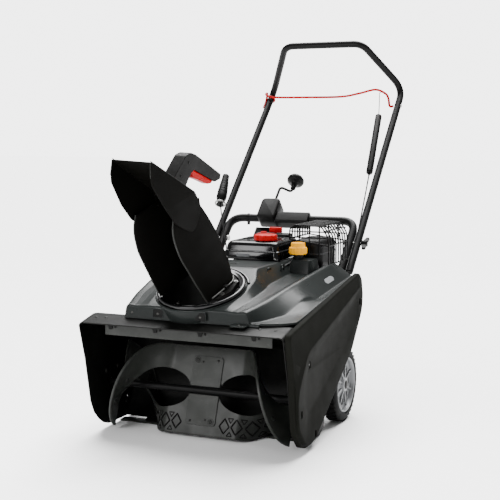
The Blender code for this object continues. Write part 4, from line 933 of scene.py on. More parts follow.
def add_shroud():
    ys = [0.0532 + (0.56 - 0.0532) * (k / 70) for k in range(71)]
    width = len(shroud_row(0.3))
    rows = []
    top = shroud_row(0.0532)
    for back, drop in ((0.0, None), (0.0, 0.0062), (0.0004, 0.004), (0.0016, 0.0018),
            (0.0034, 0.0005)):
        row = []
        for p in top:
            z = 0.3195 if drop is None else max(0.3195, p.y - drop)
            row.append(Vector((p.x, 0.047 + back, z)))
        rows.append(row)
    for y in ys:
        path = shroud_row(y)
        rows.append([shroud_point(p.x, y, p.y) for p in path])
    fine = []
    for row in rows:
        line = []
        for k in range(width - 1):
            line.append(row[k])
            parts = 8 if (rows[30][k + 1] - rows[30][k]).length > 0.02 else 1
            line.extend(row[k].lerp(row[k + 1], j / parts) for j in range(1, parts))
        line.append(row[-1])
        fine.append(line)
    shroud = make("shroud_skin", loft(fine, closed=False), "charcoal_plastic",
        replaces=["body_shroud"], thick=0.0024, smooth=38.0)
    holes = [rod(RING_FRAME @ Vector((0, 0, -0.1)), RING_FRAME @ Vector((0, 0, 0.05)), 0.112,
        sides=72), block((-0.072, 0.415, 0.3), (0.106, 0.62, 0.5)),
        block((-0.11, 0.5, 0.3), (0.11, 0.62, 0.5)), block((0.09, 0.486, 0.3), (0.2265, 0.62, 0.5)),
        rod((*OIL_HOLE, 0.35), (*OIL_HOLE, 0.5), 0.0162, sides=40)]
    bored(shroud, *holes)
    add_shroud_details()


def slope_spot(y, share):
    """Point on the hood's left slope, the share of the way from its crest to its foot."""
    crest = Vector((at(y, CREST_X), y, at(y, CREST_Z)))
    foot = Vector((at(y, RIGHT_FOOT_X), y, at(y, RIGHT_FOOT_Z)))
    return crest.lerp(foot, share)


def add_shroud_details():
    collar = turned([(0.1205, -0.01), (0.1195, -0.0045), (0.118, -0.003), (0.1165, -0.0035),
        (0.116, -0.006), (0.1118, -0.007), (0.1118, -0.01)], (0, 0, 0), (0, 0, 1), 96, closed=True)
    make("shroud_collar", on_ring(collar), "charcoal_plastic", smooth=50.0)
    lip = []
    for k in range(25):
        a = math.radians(25.0 + 110.0 * k / 24)
        rise = math.sin(math.pi * k / 24) ** 0.5
        lip.append(RING_FRAME @ Vector((0.1225 * math.cos(a), 0.1225 * math.sin(a),
            -0.006 + 0.005 * rise)))
    make("shroud_ring_lip", sweep(lip, 0.0042, 12), "gloss_black_plastic")
    wall = []
    for k in range(41):
        a = math.radians(205.0 + 130.0 * k / 40)
        side_wall = [(0.1122, -0.0105), (0.1185, -0.008), (0.1195, -0.011), (0.1195, -0.042),
            (0.1122, -0.042)]
        wall.append([RING_FRAME @ Vector((r * math.cos(a), r * math.sin(a), h))
            for r, h in side_wall])
    make("shroud_ring_wall", loft(wall), "charcoal_plastic", smooth=40.0)
    tongue = fillet(((0.128, 0.04), (0.128, 0.012), (0.172, 0.012), (0.172, 0.04)), 0.01, 4,
        closed=False)
    tab = prism([(p.x, p.y + 0.012) for p in tongue], 0.319, 0.3235, "xy")
    make("shroud_tongue", tab, "charcoal_plastic", bevel=0.0015)
    pockets, dark, screws = [], [], []
    for x in (-0.076, 0.046):
        frame_line = fillet([(x - 0.014, 0.327), (x - 0.014, 0.348), (x + 0.014, 0.348),
            (x + 0.014, 0.327)], 0.007, 5, closed=False)
        y = 0.0462 if x < 0.0 else 0.0392
        pockets.append(sweep([Vector((p.x, y, p.y)) for p in frame_line], 0.0016, 8))
        dark.append(block((x - 0.0125, y - 0.001, 0.3265), (x + 0.0125, y + 0.0006, 0.3465)))
        screws.append(dome_bolt((x, y - 0.001, 0.335), (0, -1, 0), 0.0042, 0.0016))
    for x, y, z in ((0.103, 0.33, 0.415), (0.118, 0.392, 0.418)):
        arch = fillet([(x, y - 0.01, z - 0.012), (x + 0.002, y - 0.01, z + 0.012),
            (x + 0.002, y + 0.01, z + 0.012), (x, y + 0.01, z - 0.012)], 0.006, 4, closed=False)
        pockets.append(sweep([p + Vector((0.006, 0, 0)) for p in arch], 0.0022, 8))
    make("shroud_pocket_frames", merge(*pockets), "charcoal_plastic")
    make("shroud_pockets", merge(*dark), "black_plastic", bevel=0.0005)
    screws.append(dome_bolt((-0.15, 0.0465, 0.334), (0, -1, 0), 0.004, 0.0014))
    screws.append(dome_bolt((0.15, 0.0385, 0.3235), (0, 0, 1), 0.004, 0.0016))
    make("shroud_screws", merge(*screws), "dark_steel")
    step = fillet(((0.136, 0.424), (0.196, 0.424), (0.196, 0.484), (0.136, 0.484)), 0.01, 5)
    levels = [lifted(inset(step, shrink), z) for z, shrink in ((0.404, -0.008), (0.438, 0.0),
        (0.4405, 0.001), (0.4412, 0.003))]
    block_piece = make("oil_neck_seat", loft(levels), "charcoal_plastic", smooth=40.0)
    bored(block_piece, rod((*OIL_HOLE, 0.38), (*OIL_HOLE, 0.5), 0.0155, sides=40))
    rib = fillet(((0.118, 0.395, 0.41), (0.118, 0.395, 0.418), (0.12, 0.47, 0.427)), 0.004, 4,
        closed=False)
    make("shroud_rib", sweep(rib, 0.003, 8), "charcoal_plastic")
    a, b = slope_spot(0.405, 0.62), slope_spot(0.455, 0.62)
    slope = slope_spot(0.43, 0.7) - slope_spot(0.43, 0.5)
    away = slope.cross(b - a).normalized()
    away = away if away.z > 0.0 else -away
    badge_plate("shroud_badge", (a + b) / 2 + away * 0.0008, b - a, away, 0.058, 0.016)


def badge_plate(name, centre, along, normal, length, height):
    """Plain lozenge-ended plate, with nothing on it."""
    along, normal = Vector(along).normalized(), Vector(normal).normalized()
    up = normal.cross(along).normalized()
    normal = along.cross(up).normalized()
    place = Matrix.Translation(Vector(centre)) @ axes(along, up, normal)
    half, tall = length / 2, height / 2
    outline = fillet(((-half, 0.0), (-half + tall, -tall), (half - tall, -tall), (half, 0.0),
        (half - tall, tall), (-half + tall, tall)), tall * 0.4, 3)
    plate = moved(prism(outline, -0.0004, 0.001, "xy"), place)
    make(name, plate, "badge", bevel=0.0003)


# ---------------------------------------------------------------- discharge chute
CHUTE_HEIGHTS = [0.0066, 0.012, 0.025, 0.045, 0.07, 0.095, 0.12, 0.145, 0.165, 0.185, 0.205, 0.22,
    0.235, 0.246, 0.255]
CHUTE_FRONT = [(0.0, -0.076), (0.07, -0.109), (0.16, -0.146), (0.205, -0.153), (0.235, -0.15),
    (0.255, -0.136)]


def chute_half(h):
    """Half the chute's width at height h above the ring."""
    return 0.073 - 0.066 * h


def add_chute():
    profile = [(0.1003, -0.003), (0.1148, -0.003), (0.115, 0.001), (0.1146, 0.0036),
        (0.1132, 0.0052), (0.111, 0.006), (0.1085, 0.0056), (0.104, 0.004), (0.1005, 0.0036)]
    ring = turned(profile, (0, 0, 0), (0, 0, 1), 120, closed=True)
    make("ring_rim", on_ring(ring), "gloss_black_plastic", "discharge_chute",
        replaces=["chute_ring"], smooth=60.0)
    rows = []
    for h in CHUTE_HEIGHTS:
        half = chute_half(h)
        back = 0.055 - 1.19 * h * h
        lip = eased(h, CHUTE_FRONT, 0.01)
        outer, inner = [fillet([(-half + wall, lip), (-half + wall, back - wall),
            (half - wall, back - wall), (half - wall, lip)], radius, 8, closed=False)
            for wall, radius in ((0.0, 0.016), (0.0034, 0.0126))]
        rows.append(lifted(outer + inner[::-1], h))
    shell = make("chute_shell", on_chute(loft(rows)), "chute_plastic", "discharge_chute",
        replaces=["chute"], smooth=35.0, bevel=0.0008)
    slot = rod((-0.09, *HINGE), (0.09, *HINGE), 0.0046, sides=20)
    bored(shell, on_chute(slot))
    bits = []
    for side in SIDES:
        edge = []
        for h in CHUTE_HEIGHTS:
            lip = eased(h, CHUTE_FRONT, 0.01)
            edge.append(Vector((side * (chute_half(h) - 0.001), lip + 0.0008, h)))
        bits.append(sweep(catmull(edge, 3), 0.0018, 8))
    foot = fillet(((-0.085, -0.062), (-0.098, -0.01), (-0.085, 0.048), (-0.05, 0.08), (0.05, 0.08),
        (0.085, 0.048), (0.098, -0.01), (0.085, -0.062)), 0.012, 5)
    plate = prism(foot, 0.0064, 0.0098, "xy")
    base = make("chute_base", on_chute(plate), "chute_plastic", "discharge_chute", bevel=0.001)
    throat = fillet(((-0.069, -0.08), (-0.069, 0.0508), (0.069, 0.0508), (0.069, -0.08)), 0.014, 6)
    bored(base, on_chute(prism(throat, -0.01, 0.03, "xy")))
    # Lighter grey beads along the side walls' front edges: painted highlight.
    make("chute_edge_highlights", on_chute(merge(*bits)), "grey_plastic", "discharge_chute")
    small = [hex_bolt((x, y, 0.0098), (0, 0, 1), 0.0052, 0.0034) for x, y in ((-0.08, 0.04),
        (0.08, 0.04), (0.083, -0.03))]
    small.append(dome_bolt((-0.0046, -0.098, 0.006), (0, 0, 1), 0.004, 0.0022))
    rail = [Vector((0.0765, -0.066, 0.013)), Vector((0.0775, -0.03, 0.013)),
        Vector((0.0765, 0.02, 0.013)), Vector((0.074, 0.04, 0.014)), Vector((0.066, 0.056, 0.018))]
    small.append(sweep(catmull(rail, 6), 0.0022, 12))
    make("chute_hardware", on_chute(merge(*small)), "dark_steel", "discharge_chute")
    clamp = on_chute(block((0.0705, -0.006, 0.0098), (0.0825, 0.008, 0.0185)))
    make("chute_rail_clamp", clamp, "black_plastic", "discharge_chute", bevel=0.0015)


SIDE_LOBES = [(-0.184, 0.417), (-0.05, 0.291), (-0.0385, 0.262), (-0.0445, 0.232), (-0.072, 0.203),
    (-0.09, 0.203), (-0.116, 0.221), (-0.144, 0.245), (-0.172, 0.296), (-0.198, 0.362),
    (-0.196, 0.384)]
LOBE_ROUND = [0.006, 0.01, 0.02, 0.018, 0.014, 0.014, 0.02, 0.03, 0.04, 0.014, 0.008]
DEFLECTOR_WIDTH = [(0.19, 0.974), (0.29, 0.972), (0.42, 0.8)]


def tapered(bit):
    """Narrow a deflector shape towards its upper end, from one fold line upwards."""
    bm = bmesh.new()
    verts = [bm.verts.new(v) for v in bit[0]]
    for face in bit[1]:
        bm.faces.new([verts[i] for i in face])
    bmesh.ops.bisect_plane(bm, geom=bm.verts[:] + bm.edges[:] + bm.faces[:],
        plane_co=(0.0, 0.0, DEFLECTOR_WIDTH[1][0]), plane_no=(0.0, 0.0, 1.0))
    bm.verts.index_update()
    points = [Vector((v.co.x * at(v.co.z, DEFLECTOR_WIDTH), v.co.y, v.co.z)) for v in bm.verts]
    faces = [tuple(v.index for v in face.verts) for face in bm.faces]
    bm.free()
    return points, faces


def add_deflector():
    side_line = fillet(SIDE_LOBES, LOBE_ROUND, 6)
    body = prism(side_line, -0.0679, 0.0679)
    shell = make("deflector_shell", on_chute(tapered(body)), "chute_plastic", "chute_deflector",
        replaces=["deflector"], smooth=40.0)
    room = [(-0.1875, 0.4135), (-0.052, 0.287), (-0.02, 0.262), (-0.02, 0.15), (-0.26, 0.15),
        (-0.26, 0.4135)]
    room = fillet(room, [0.0, 0.012, 0, 0, 0, 0], 6)
    bored(shell, on_chute(tapered(prism(room, -0.065, 0.065))))
    add_bevel(shell, 0.0011, 2, 40.0, False)
    rows = []
    for half, a, b in ((0.0618, -0.0535, 0.2868), (0.0618, -0.0378, 0.2595),
            (0.049, -0.031, 0.249)):
        back = (a + 0.0022, b + 0.0014)
        rows.append([Vector((-half, a, b)), Vector((half, a, b)), Vector((half, *back)),
            Vector((-half, *back))])
    bits = [loft(rows)]
    for side in SIDES:
        tab = sorted((side * 0.0578, side * 0.0632))
        bits.append(block((tab[0], -0.045, 0.245), (tab[1], -0.0335, 0.269)))
    make("deflector_flap", on_chute(merge(*bits)), "chute_plastic", "chute_deflector")
    steel = []
    for side in SIDES:
        steel.append(rod((side * 0.054, *HINGE), (side * 0.065, *HINGE), 0.0039, sides=20))
        steel.append(dome_bolt((side * 0.0641, -0.051, 0.24), (side, 0, 0), 0.006, 0.0014))
    # Lighter grey beads along the top plate's side edges: painted highlight.
    edges = []
    for side in SIDES:
        edges.append(sweep([(side * 0.0672, -0.1825, 0.416), (side * 0.0672, -0.051, 0.2915)],
            0.0011, 8))
        edges.append(sweep([(side * 0.0672, -0.1975, 0.38), (side * 0.0672, -0.185, 0.414)], 0.001,
            8))
    make("deflector_edge_highlights", on_chute(tapered(merge(*edges))), "grey_plastic", "chute_deflector")
    make("deflector_hinge_bolts", on_chute(merge(*steel)), "chute_plastic", "chute_deflector")


def add_grip():
    outline = [(-0.075, 0.317), (0.005, 0.361), (0.027, 0.3595), (0.045, 0.348), (0.138, 0.262),
        (0.133, 0.251), (0.108, 0.252), (0.026, 0.316), (0.004, 0.304), (-0.018, 0.288),
        (-0.033, 0.2795)]
    rounds = [0.006, 0.02, 0.012, 0.016, 0.003, 0.003, 0.012, 0.012, 0.012, 0.02, 0.006]
    grip = make("grip_body", on_chute(prism(fillet(outline, rounds, 6), -0.0172, 0.0172)),
        "black_plastic", "chute_deflector", replaces=["chute_grip"], smooth=50.0)
    slot = [(0.016, 0.278), (0.024, 0.328), (0.038, 0.331), (0.12, 0.271), (0.118, 0.233)]
    slot = fillet(slot, [0, 0.006, 0.006, 0, 0], 5)
    bored(grip, on_chute(prism(slot, -0.0112, 0.0112)))
    add_bevel(grip, 0.0042, 4, 40.0, False)
    lever = [(0.022, 0.311), (0.028, 0.293), (0.052, 0.278), (0.086, 0.254), (0.102, 0.25),
        (0.11, 0.256), (0.108, 0.2615), (0.032, 0.314)]
    lever = fillet(lever, [0.003, 0.008, 0.012, 0.012, 0.006, 0.004, 0.003, 0.003], 5)
    make("grip_trigger", on_chute(prism(lever, -0.01, 0.01)), "red_plastic", "deflector_latch",
        replaces=["trigger"], bevel=0.0022, segments=3, smooth=50.0)
    bits = []
    for a, b in ((-0.03, 0.32), (0.01, 0.34)):
        for side in SIDES:
            bits.append(dome_bolt((side * 0.0172, a, b), (side, 0, 0), 0.004, 0.0012))
    make("grip_screws", on_chute(merge(*bits)), "black_plastic", "chute_deflector")


# ---------------------------------------------------------------- engine
def soft_box(low, high, radius, edge=0.004):
    """Upright rounded box: corner radius in plan, rolled top edge."""
    corners = [(low[0], low[1]), (high[0], low[1]), (high[0], high[1]), (low[0], high[1])]
    rows = [lifted(shrunk(corners, [radius] * 4, 0.0), low[2])]
    for k in range(7):
        a = math.radians(15.0 * k)
        shrink = edge * (1.0 - math.cos(a))
        z = high[2] - edge + edge * math.sin(a)
        rows.append(lifted(shrunk(corners, [max(0.001, radius - shrink)] * 4, shrink), z))
    return loft(rows)


def add_engine():
    block_bits = [soft_box((-0.0695, 0.4685, 0.239), (0.1715, 0.5995, 0.3835), 0.014, edge=0.008),
        soft_box((0.06, 0.4055, 0.262), (0.1715, 0.48, 0.3775), 0.012, edge=0.008)]
    for z in (0.262, 0.282, 0.302, 0.322, 0.342):
        block_bits.append(block((-0.06, 0.599, z), (0.04, 0.6045, z + 0.0035)))
    make("crankcase", merge(*block_bits), "cast_aluminium", replaces=["engine_block"], smooth=40.0)
    bits = [hex_bolt((x, 0.5996, z), (0, 1, 0), 0.0055, 0.0045) for x in (-0.055, 0.03, 0.155)
        for z in (0.252, 0.37)]
    bits += [hex_bolt((x, y, 0.2395), (0, 0, 1), 0.007, 0.006) for x in (-0.078, 0.18)
        for y in (0.485, 0.585)]
    make("crankcase_bolts", merge(*bits), "zinc_plated_steel")
    head = [soft_box((0.0455, 0.6008, 0.27), (0.1295, 0.6875, 0.352), 0.01, edge=0.006)]
    for k in range(7):
        y = 0.61 + 0.0112 * k
        line = fillet(((0.03, 0.256), (0.145, 0.256), (0.145, 0.366), (0.03, 0.366)), 0.012, 5)
        head.append(prism(line, y, y + 0.0026, "xz"))
    make("finned_head", merge(*head), "cast_aluminium", replaces=["cylinder_head"])
    add_recoil()
    carb = soft_box((-0.0995, 0.6072, 0.3302), (0.0098, 0.6718, 0.4455), 0.014, edge=0.01)
    grooves = [block((-0.085 + 0.013 * k, 0.6705, 0.35), (-0.079 + 0.013 * k, 0.6724, 0.4))
        for k in range(7)]
    make("intake_box", merge(carb, *grooves), "black_plastic", replaces=["carburettor_cover"],
        smooth=40.0)
    tank = soft_box((-0.0598, 0.4467, 0.3882), (0.0878, 0.5998, 0.4298), 0.02, edge=0.01)
    neck = turned([(0.0, 0.4922), (0.012, 0.4922), (0.0178, 0.4905), (0.018, 0.428), (0.0, 0.428)],
        (*FUEL_HOLE, 0.0), (0, 0, 1), 40)
    make("petrol_tank", merge(tank, neck), "black_plastic", replaces=["fuel_tank"], smooth=40.0)


def on_recoil(radius, a):
    return (RECOIL_YZ[0] + radius * math.cos(a), RECOIL_YZ[1] + radius * math.sin(a))


def add_recoil():
    lathe = turned([(0.0, 0.0615), (0.02, 0.0615), (0.03, 0.059), (0.06, 0.0575), (0.07, 0.053),
        (0.0735, 0.044), (0.0738, 0.0), (0.0, 0.0)], (-0.0717, *RECOIL_YZ), (-1, 0, 0), 72)
    case = make("recoil_case", lathe, "black_plastic", replaces=["recoil_housing"], smooth=35.0)
    cuts = []
    for k in range(24):
        a = math.tau * k / 24
        place = Matrix.Translation((-0.132, *on_recoil(0.046, a))) @ Matrix.Rotation(a, 4, "X")
        cuts.append(moved(block((-0.01, -0.0095, -0.0018), (0.01, 0.0095, 0.0018)), place))
    bored(case, *cuts)
    bits = [dome_bolt((-0.1285, *on_recoil(0.064, a)), (-1, 0, 0), 0.0045, 0.003)
        for a in (math.pi / 4 + k * math.pi / 2 for k in range(4))]
    make("recoil_screws", merge(*bits), "zinc_plated_steel")


def add_engine_cover():
    """Glossy two-level cover with a chamfered front and a plain plate."""
    line = [(-0.0675, 0.4205), (0.1015, 0.4205), (0.1015, 0.6055), (-0.0675, 0.6055)]
    radii = [0.02, 0.018, 0.014, 0.014]
    levels = [(0.4348, 0.0012), (0.4362, 0.0), (0.456, 0.0002), (0.4585, 0.0014), (0.46, 0.0036),
        (0.462, 0.0042), (0.473, 0.0058), (0.479, 0.0078), (0.483, 0.0112), (0.485, 0.016),
        (0.4858, 0.023), (0.4848, 0.033)]
    rows = [lifted(shrunk(line, radii, shrink), z) for z, shrink in levels]
    cover = make("engine_top_cover", loft(rows), "gloss_black_plastic", replaces=["engine_cover"],
        smooth=32.0)
    bored(cover, rod((*FUEL_HOLE, 0.42), (*FUEL_HOLE, 0.5), 0.0205, sides=48))
    well = turned([(0.0205, 0.435), (0.0255, 0.435), (0.0262, 0.486), (0.024, 0.4866),
        (0.021, 0.486)], (*FUEL_HOLE, 0.0), (0, 0, 1), 60, closed=True)
    make("filler_ring", well, "gloss_black_plastic")
    badge_plate("engine_badge", (-0.005, 0.4203, 0.4475), (1, 0, 0), (0, -1, 0), 0.044, 0.0085)
    bits = [dome_bolt((x, 0.4215, 0.44), (0, -1, 0), 0.0035, 0.0012) for x in (-0.055, 0.09)]
    stem = [(0.0, 0.006), (0.0042, 0.0055), (0.005, 0.003), (0.005, 0.0), (0.0, 0.0)]
    bits.append(turned(stem, (0.0845, 0.5, 0.4838), (0, 0, 1), 20))
    make("cover_screws", merge(*bits), "zinc_plated_steel")
    bead = [Vector((-0.06, 0.425, 0.4603)), Vector((0.094, 0.425, 0.4603))]
    make("cover_bead", sweep(bead, 0.0012, 8), "gloss_black_plastic")


def lobed_cap(centre, z0, z1, radius, lobes, depth, crown):
    """Screw cap whose rim has finger scallops."""
    rows = []
    count = lobes * 10
    levels = [(z0, 0.955, 1.0), (z0 + 0.0012, 1.0, 1.0), (z1 - 0.005, 1.0, 1.0),
        (z1 - 0.0025, 0.975, 0.9), (z1 - 0.0008, 0.92, 0.6), (z1, 0.84, 0.2),
        (z1 + crown * 0.5, 0.66, 0.0), (z1 + crown * 0.45, 0.6, 0.0)]
    for z, share, wave in levels:
        row = []
        for k in range(count):
            a = math.tau * k / count
            dip = depth * wave * max(0.0, math.cos(a * lobes)) ** 3
            r = radius * share - dip
            row.append(Vector((centre[0] + r * math.cos(a), centre[1] + r * math.sin(a), z)))
        rows.append(row)
    return loft(rows)


def add_caps():
    cap = lobed_cap(FUEL_HOLE, 0.4872, 0.504, 0.033, 10, 0.003, 0.0026)
    bar = fillet(((0.02, 0.4655), (0.068, 0.4655), (0.068, 0.4725), (0.02, 0.4725)), 0.003, 4)
    rib = prism(bar, 0.5036, 0.5066, "xy")
    make("petrol_cap", merge(cap, rib), "red_plastic", "fuel_lid", replaces=["fuel_cap"],
        smooth=40.0, bevel=0.0006)
    tube = turned([(0.0118, 0.379), (0.0138, 0.379), (0.0138, 0.406), (0.015, 0.408),
        (0.015, 0.411), (0.0138, 0.413), (0.0138, 0.4555), (0.0118, 0.4555)], (*OIL_HOLE, 0.0),
        (0, 0, 1), 48, closed=True)
    make("oil_tube", tube, "black_plastic", replaces=["oil_fill_tube"])
    lower = [(0.0, 0.4575), (0.0155, 0.4575), (0.0155, 0.454), (0.023, 0.4545), (0.0247, 0.457),
        (0.0248, 0.47), (0.024, 0.4728), (0.0212, 0.474), (0.02, 0.4752), (0.0196, 0.4835),
        (0.0184, 0.486), (0.014, 0.4868), (0.0, 0.4868)]
    lid = make("oil_lid_cap", turned(lower, (*OIL_HOLE, 0.0), (0, 0, 1), 64), "yellow_plastic",
        "oil_lid", replaces=["oil_cap"])
    cut = block((0.129, 0.4472, 0.48), (0.169, 0.4528, 0.49))
    bored(lid, cut)
    grips = []
    for k in range(16):
        a = math.tau * k / 16
        base = Vector((*OIL_HOLE, 0.0)) + Vector((math.cos(a), math.sin(a), 0.0)) * 0.0242
        grips.append(rod(base + Vector((0, 0, 0.457)), base + Vector((0, 0, 0.471)), 0.0014,
            sides=8))
    make("oil_lid_grips", merge(*grips), "yellow_plastic", "oil_lid")


def add_controls():
    pod = soft_box((-0.0515, 0.6072, 0.4475), (0.0595, 0.6545, 0.4925), 0.012, edge=0.008)
    make("control_pod", pod, "black_plastic", replaces=["control_panel"], smooth=40.0)
    key = turned([(0.0, 0.496), (0.0085, 0.4955), (0.0095, 0.4925), (0.0, 0.4925)],
        (-0.028, 0.63, 0.0), (0, 0, 1), 28)
    make("control_button", key, "red_plastic")
    paddle = fillet(((-0.0195, -0.0045), (0.0, -0.0068), (0.0195, -0.0045), (0.0195, 0.0045),
        (0.0, 0.0068), (-0.0195, 0.0045)), 0.003, 4)
    levels = []
    for z, shrink in ((-0.0058, 0.0008), (-0.0048, 0.0), (0.007, 0.0), (0.009, 0.0007),
            (0.0098, 0.002)):
        levels.append([Vector((0.012 + p[0], 0.628 + p[1], 0.5 + z))
            for p in inset(paddle, shrink)])
    stem = rod((0.012, 0.628, 0.464), (0.012, 0.628, 0.4945), 0.0044, sides=20)
    make("choke_lever", merge(loft(levels), stem), "red_plastic", "choke", replaces=["choke_knob"],
        smooth=40.0)


def add_muffler():
    body = soft_box((0.1105, 0.5005, 0.4085), (0.1995, 0.6395, 0.4895), 0.022, edge=0.018)
    make("muffler_shell", body, "black_painted_steel", replaces=["muffler"], smooth=40.0)
    seam = lifted(fillet(((0.1105, 0.5005), (0.1995, 0.5005), (0.1995, 0.6395), (0.1105, 0.6395)),
        0.022, 6), 0.45)
    bits = [sweep(seam + seam[:1], 0.0016, 8), turned([(0.0065, 0.0), (0.009, 0.0), (0.009, 0.014),
        (0.0065, 0.014)], (0.185, 0.52, 0.47), (0.6, -0.7, 0.35), 28, closed=True),
        block((0.118, 0.499, 0.43), (0.14, 0.5008, 0.47))]
    make("muffler_trim", merge(*bits), "cast_aluminium")
    low, high = Vector((0.106, 0.494, 0.419)), Vector((0.223, 0.668, 0.53))
    arch = [Vector((low.x, 0.489)), Vector((low.x, 0.518)), Vector((low.x + 0.016, 0.53)),
        Vector((0.1645, 0.53)), Vector((high.x - 0.022, 0.528)), Vector((high.x - 0.004, 0.5)),
        Vector((high.x, 0.4745)), Vector((high.x, 0.419))]
    bits = []
    smooth_arch = fillet(arch, [0, 0.01, 0.01, 0.004, 0.016, 0.016, 0.016, 0], 5, closed=False)
    for k in range(9):
        y = low.y + 0.0024 + (high.y - low.y - 0.0048) * k / 8
        bits.append(sweep([Vector((p.x, y, p.y)) for p in smooth_arch], 0.0021, 10))
    ends = (low.y + 0.0024, high.y - 0.0024)
    for x, z in ((low.x, 0.492), (low.x + 0.018, 0.53), (0.1645, 0.53), (high.x - 0.012, 0.515),
            (high.x, 0.4745), (high.x, 0.421)):
        bits.append(rod((x, ends[0], z), (x, ends[1], z), 0.0021, sides=10))
    for y in ends:
        for z in (0.4745, 0.496, 0.513):
            bits.append(rod((low.x, y, max(z, 0.49)), (high.x - (0.0 if z < 0.48 else 0.006), y, z),
                0.0019, sides=10))
        for x in (0.135, 0.165, 0.195):
            bits.append(rod((x, y, 0.44), (x, y, 0.5285), 0.0019, sides=10))
    make("muffler_cage", merge(*bits), "black_painted_steel", replaces=["muffler_guard"])


# ---------------------------------------------------------------- handles
def tube_path(points, radii):
    return fillet(points, radii, 10, closed=False)


def add_handles():
    low = tube_path([leg_point(0.207, 0.56), leg_point(0.207, BAR_Y), leg_point(-0.207, BAR_Y),
        leg_point(-0.207, 0.56)], [0, 0.046, 0.046, 0])
    make("lower_tube", sweep(low, 0.0127, 28), "black_painted_steel", replaces=["lower_handle"])
    top = [(0.2325, PIN_Y, PIN_Z), leg_point(0.233, 1.226), (0.134, 1.077, 1.078),
        (-0.134, 1.077, 1.078), leg_point(-0.233, 1.226), (-0.2325, PIN_Y, PIN_Z)]
    high = tube_path(top, [0, 0.05, 0.05, 0.05, 0.05, 0])
    make("upper_tube", sweep(high, 0.0111, 28), "black_painted_steel", "handlebar",
        replaces=["upper_handle"])
    plugs = []
    for side in SIDES:
        spot = Vector((side * 0.2325, PIN_Y, PIN_Z))
        plugs.append(turned([(0.0, 0.003), (0.01, 0.002), (0.0109, -0.002), (0.0, -0.002)], spot,
            -LEG_DIR, 28))
    make("tube_plugs", merge(*plugs), "black_plastic", "handlebar")
    for side, name in ((1.0, "left"), (-1.0, "right")):
        add_wing_knob(name, side)


def add_wing_knob(name, side):
    place = Matrix.Translation(leg_point(side * 0.2442, FOLD_Y)) @ turn_to((side, 0, 0)).to_4x4()
    stem = turned([(0.0, 0.0195), (0.0075, 0.0195), (0.0098, 0.017), (0.01, 0.008),
        (0.0086, 0.0006), (0.0, 0.0006)], (0, 0, 0), (0, 0, 1), 36)
    half = fillet(((0.004, 0.004), (0.012, 0.0035), (0.0285, 0.0085), (0.0288, 0.019),
        (0.012, 0.0185), (0.004, 0.0198)), [0, 0.006, 0.004, 0.005, 0.006, 0], 5)
    lean = side * math.radians(-62.0)
    wings = []
    for flip in (1.0, -1.0):
        wing = prism([(flip * p.x, p.y) for p in half], -0.0042, 0.0042, "xz")
        wings.append(wing)
    level = place.to_3x3().inverted() @ Vector((0, 0, 1))
    start = math.atan2(level.y, level.x)
    knob = moved(merge(stem, *wings), place @ Matrix.Rotation(start + lean, 4, "Z"))
    make(name + "_star_knob", knob, "black_plastic", name + "_knob", replaces=[name + "_wing_knob"],
        bevel=0.0022, segments=3, smooth=50.0)


BAIL_ROUTE = [(0.2184, BAIL_Y, 0.0), (0.207, 1.16, 0.001), (0.201, 1.163, 0.905),
    (0.186, 1.176, 0.921), (0.15, 1.184, 0.934), (0.095, 1.182, 0.9225), (0.03, 1.178, 0.912),
    (-0.1, 1.176, 0.9115), (-0.205, 1.176, 0.913), (-0.24, 1.182, 0.919), (-0.2538, 1.2, 0.926),
    (-0.2528, 1.21, 0.9265), (-0.2478, 1.186, 0.9), (-0.2478, 1.168, 0.8805),
    (-0.2478, BAIL_Y, 0.0)]


def add_bail():
    pivot = leg_z(BAIL_Y)
    route = [Vector((x, y, z if z > 0.5 else pivot + z)) for x, y, z in BAIL_ROUTE]
    path = catmull(route, 8)
    make("bail_wire", sweep(path, 0.0038, 16), "red_painted_wire", "bail_lever", replaces=["bail"])
    bits = []
    for side in SIDES:
        spot = Vector((side * 0.233, BAIL_Y, pivot))
        bits.append(dome_bolt(spot + Vector((side * 0.0108, 0, 0)), (side, 0, 0), 0.0055, 0.003))
    wrap = []
    for k in range(25):
        a = math.radians(150.0 + 240.0 * k / 24)
        ring = Vector((math.cos(a), 0, 0)) + LEG_OUT * math.sin(a)
        wrap.append(leg_point(-0.2328, 1.192) + ring * 0.0136 + LEG_DIR * (0.006 * k / 24))
    make("bail_stop", sweep(wrap, 0.0026, 10), "red_painted_wire", "handlebar")
    make("bail_rivets", merge(*bits), "zinc_plated_steel", "handlebar")


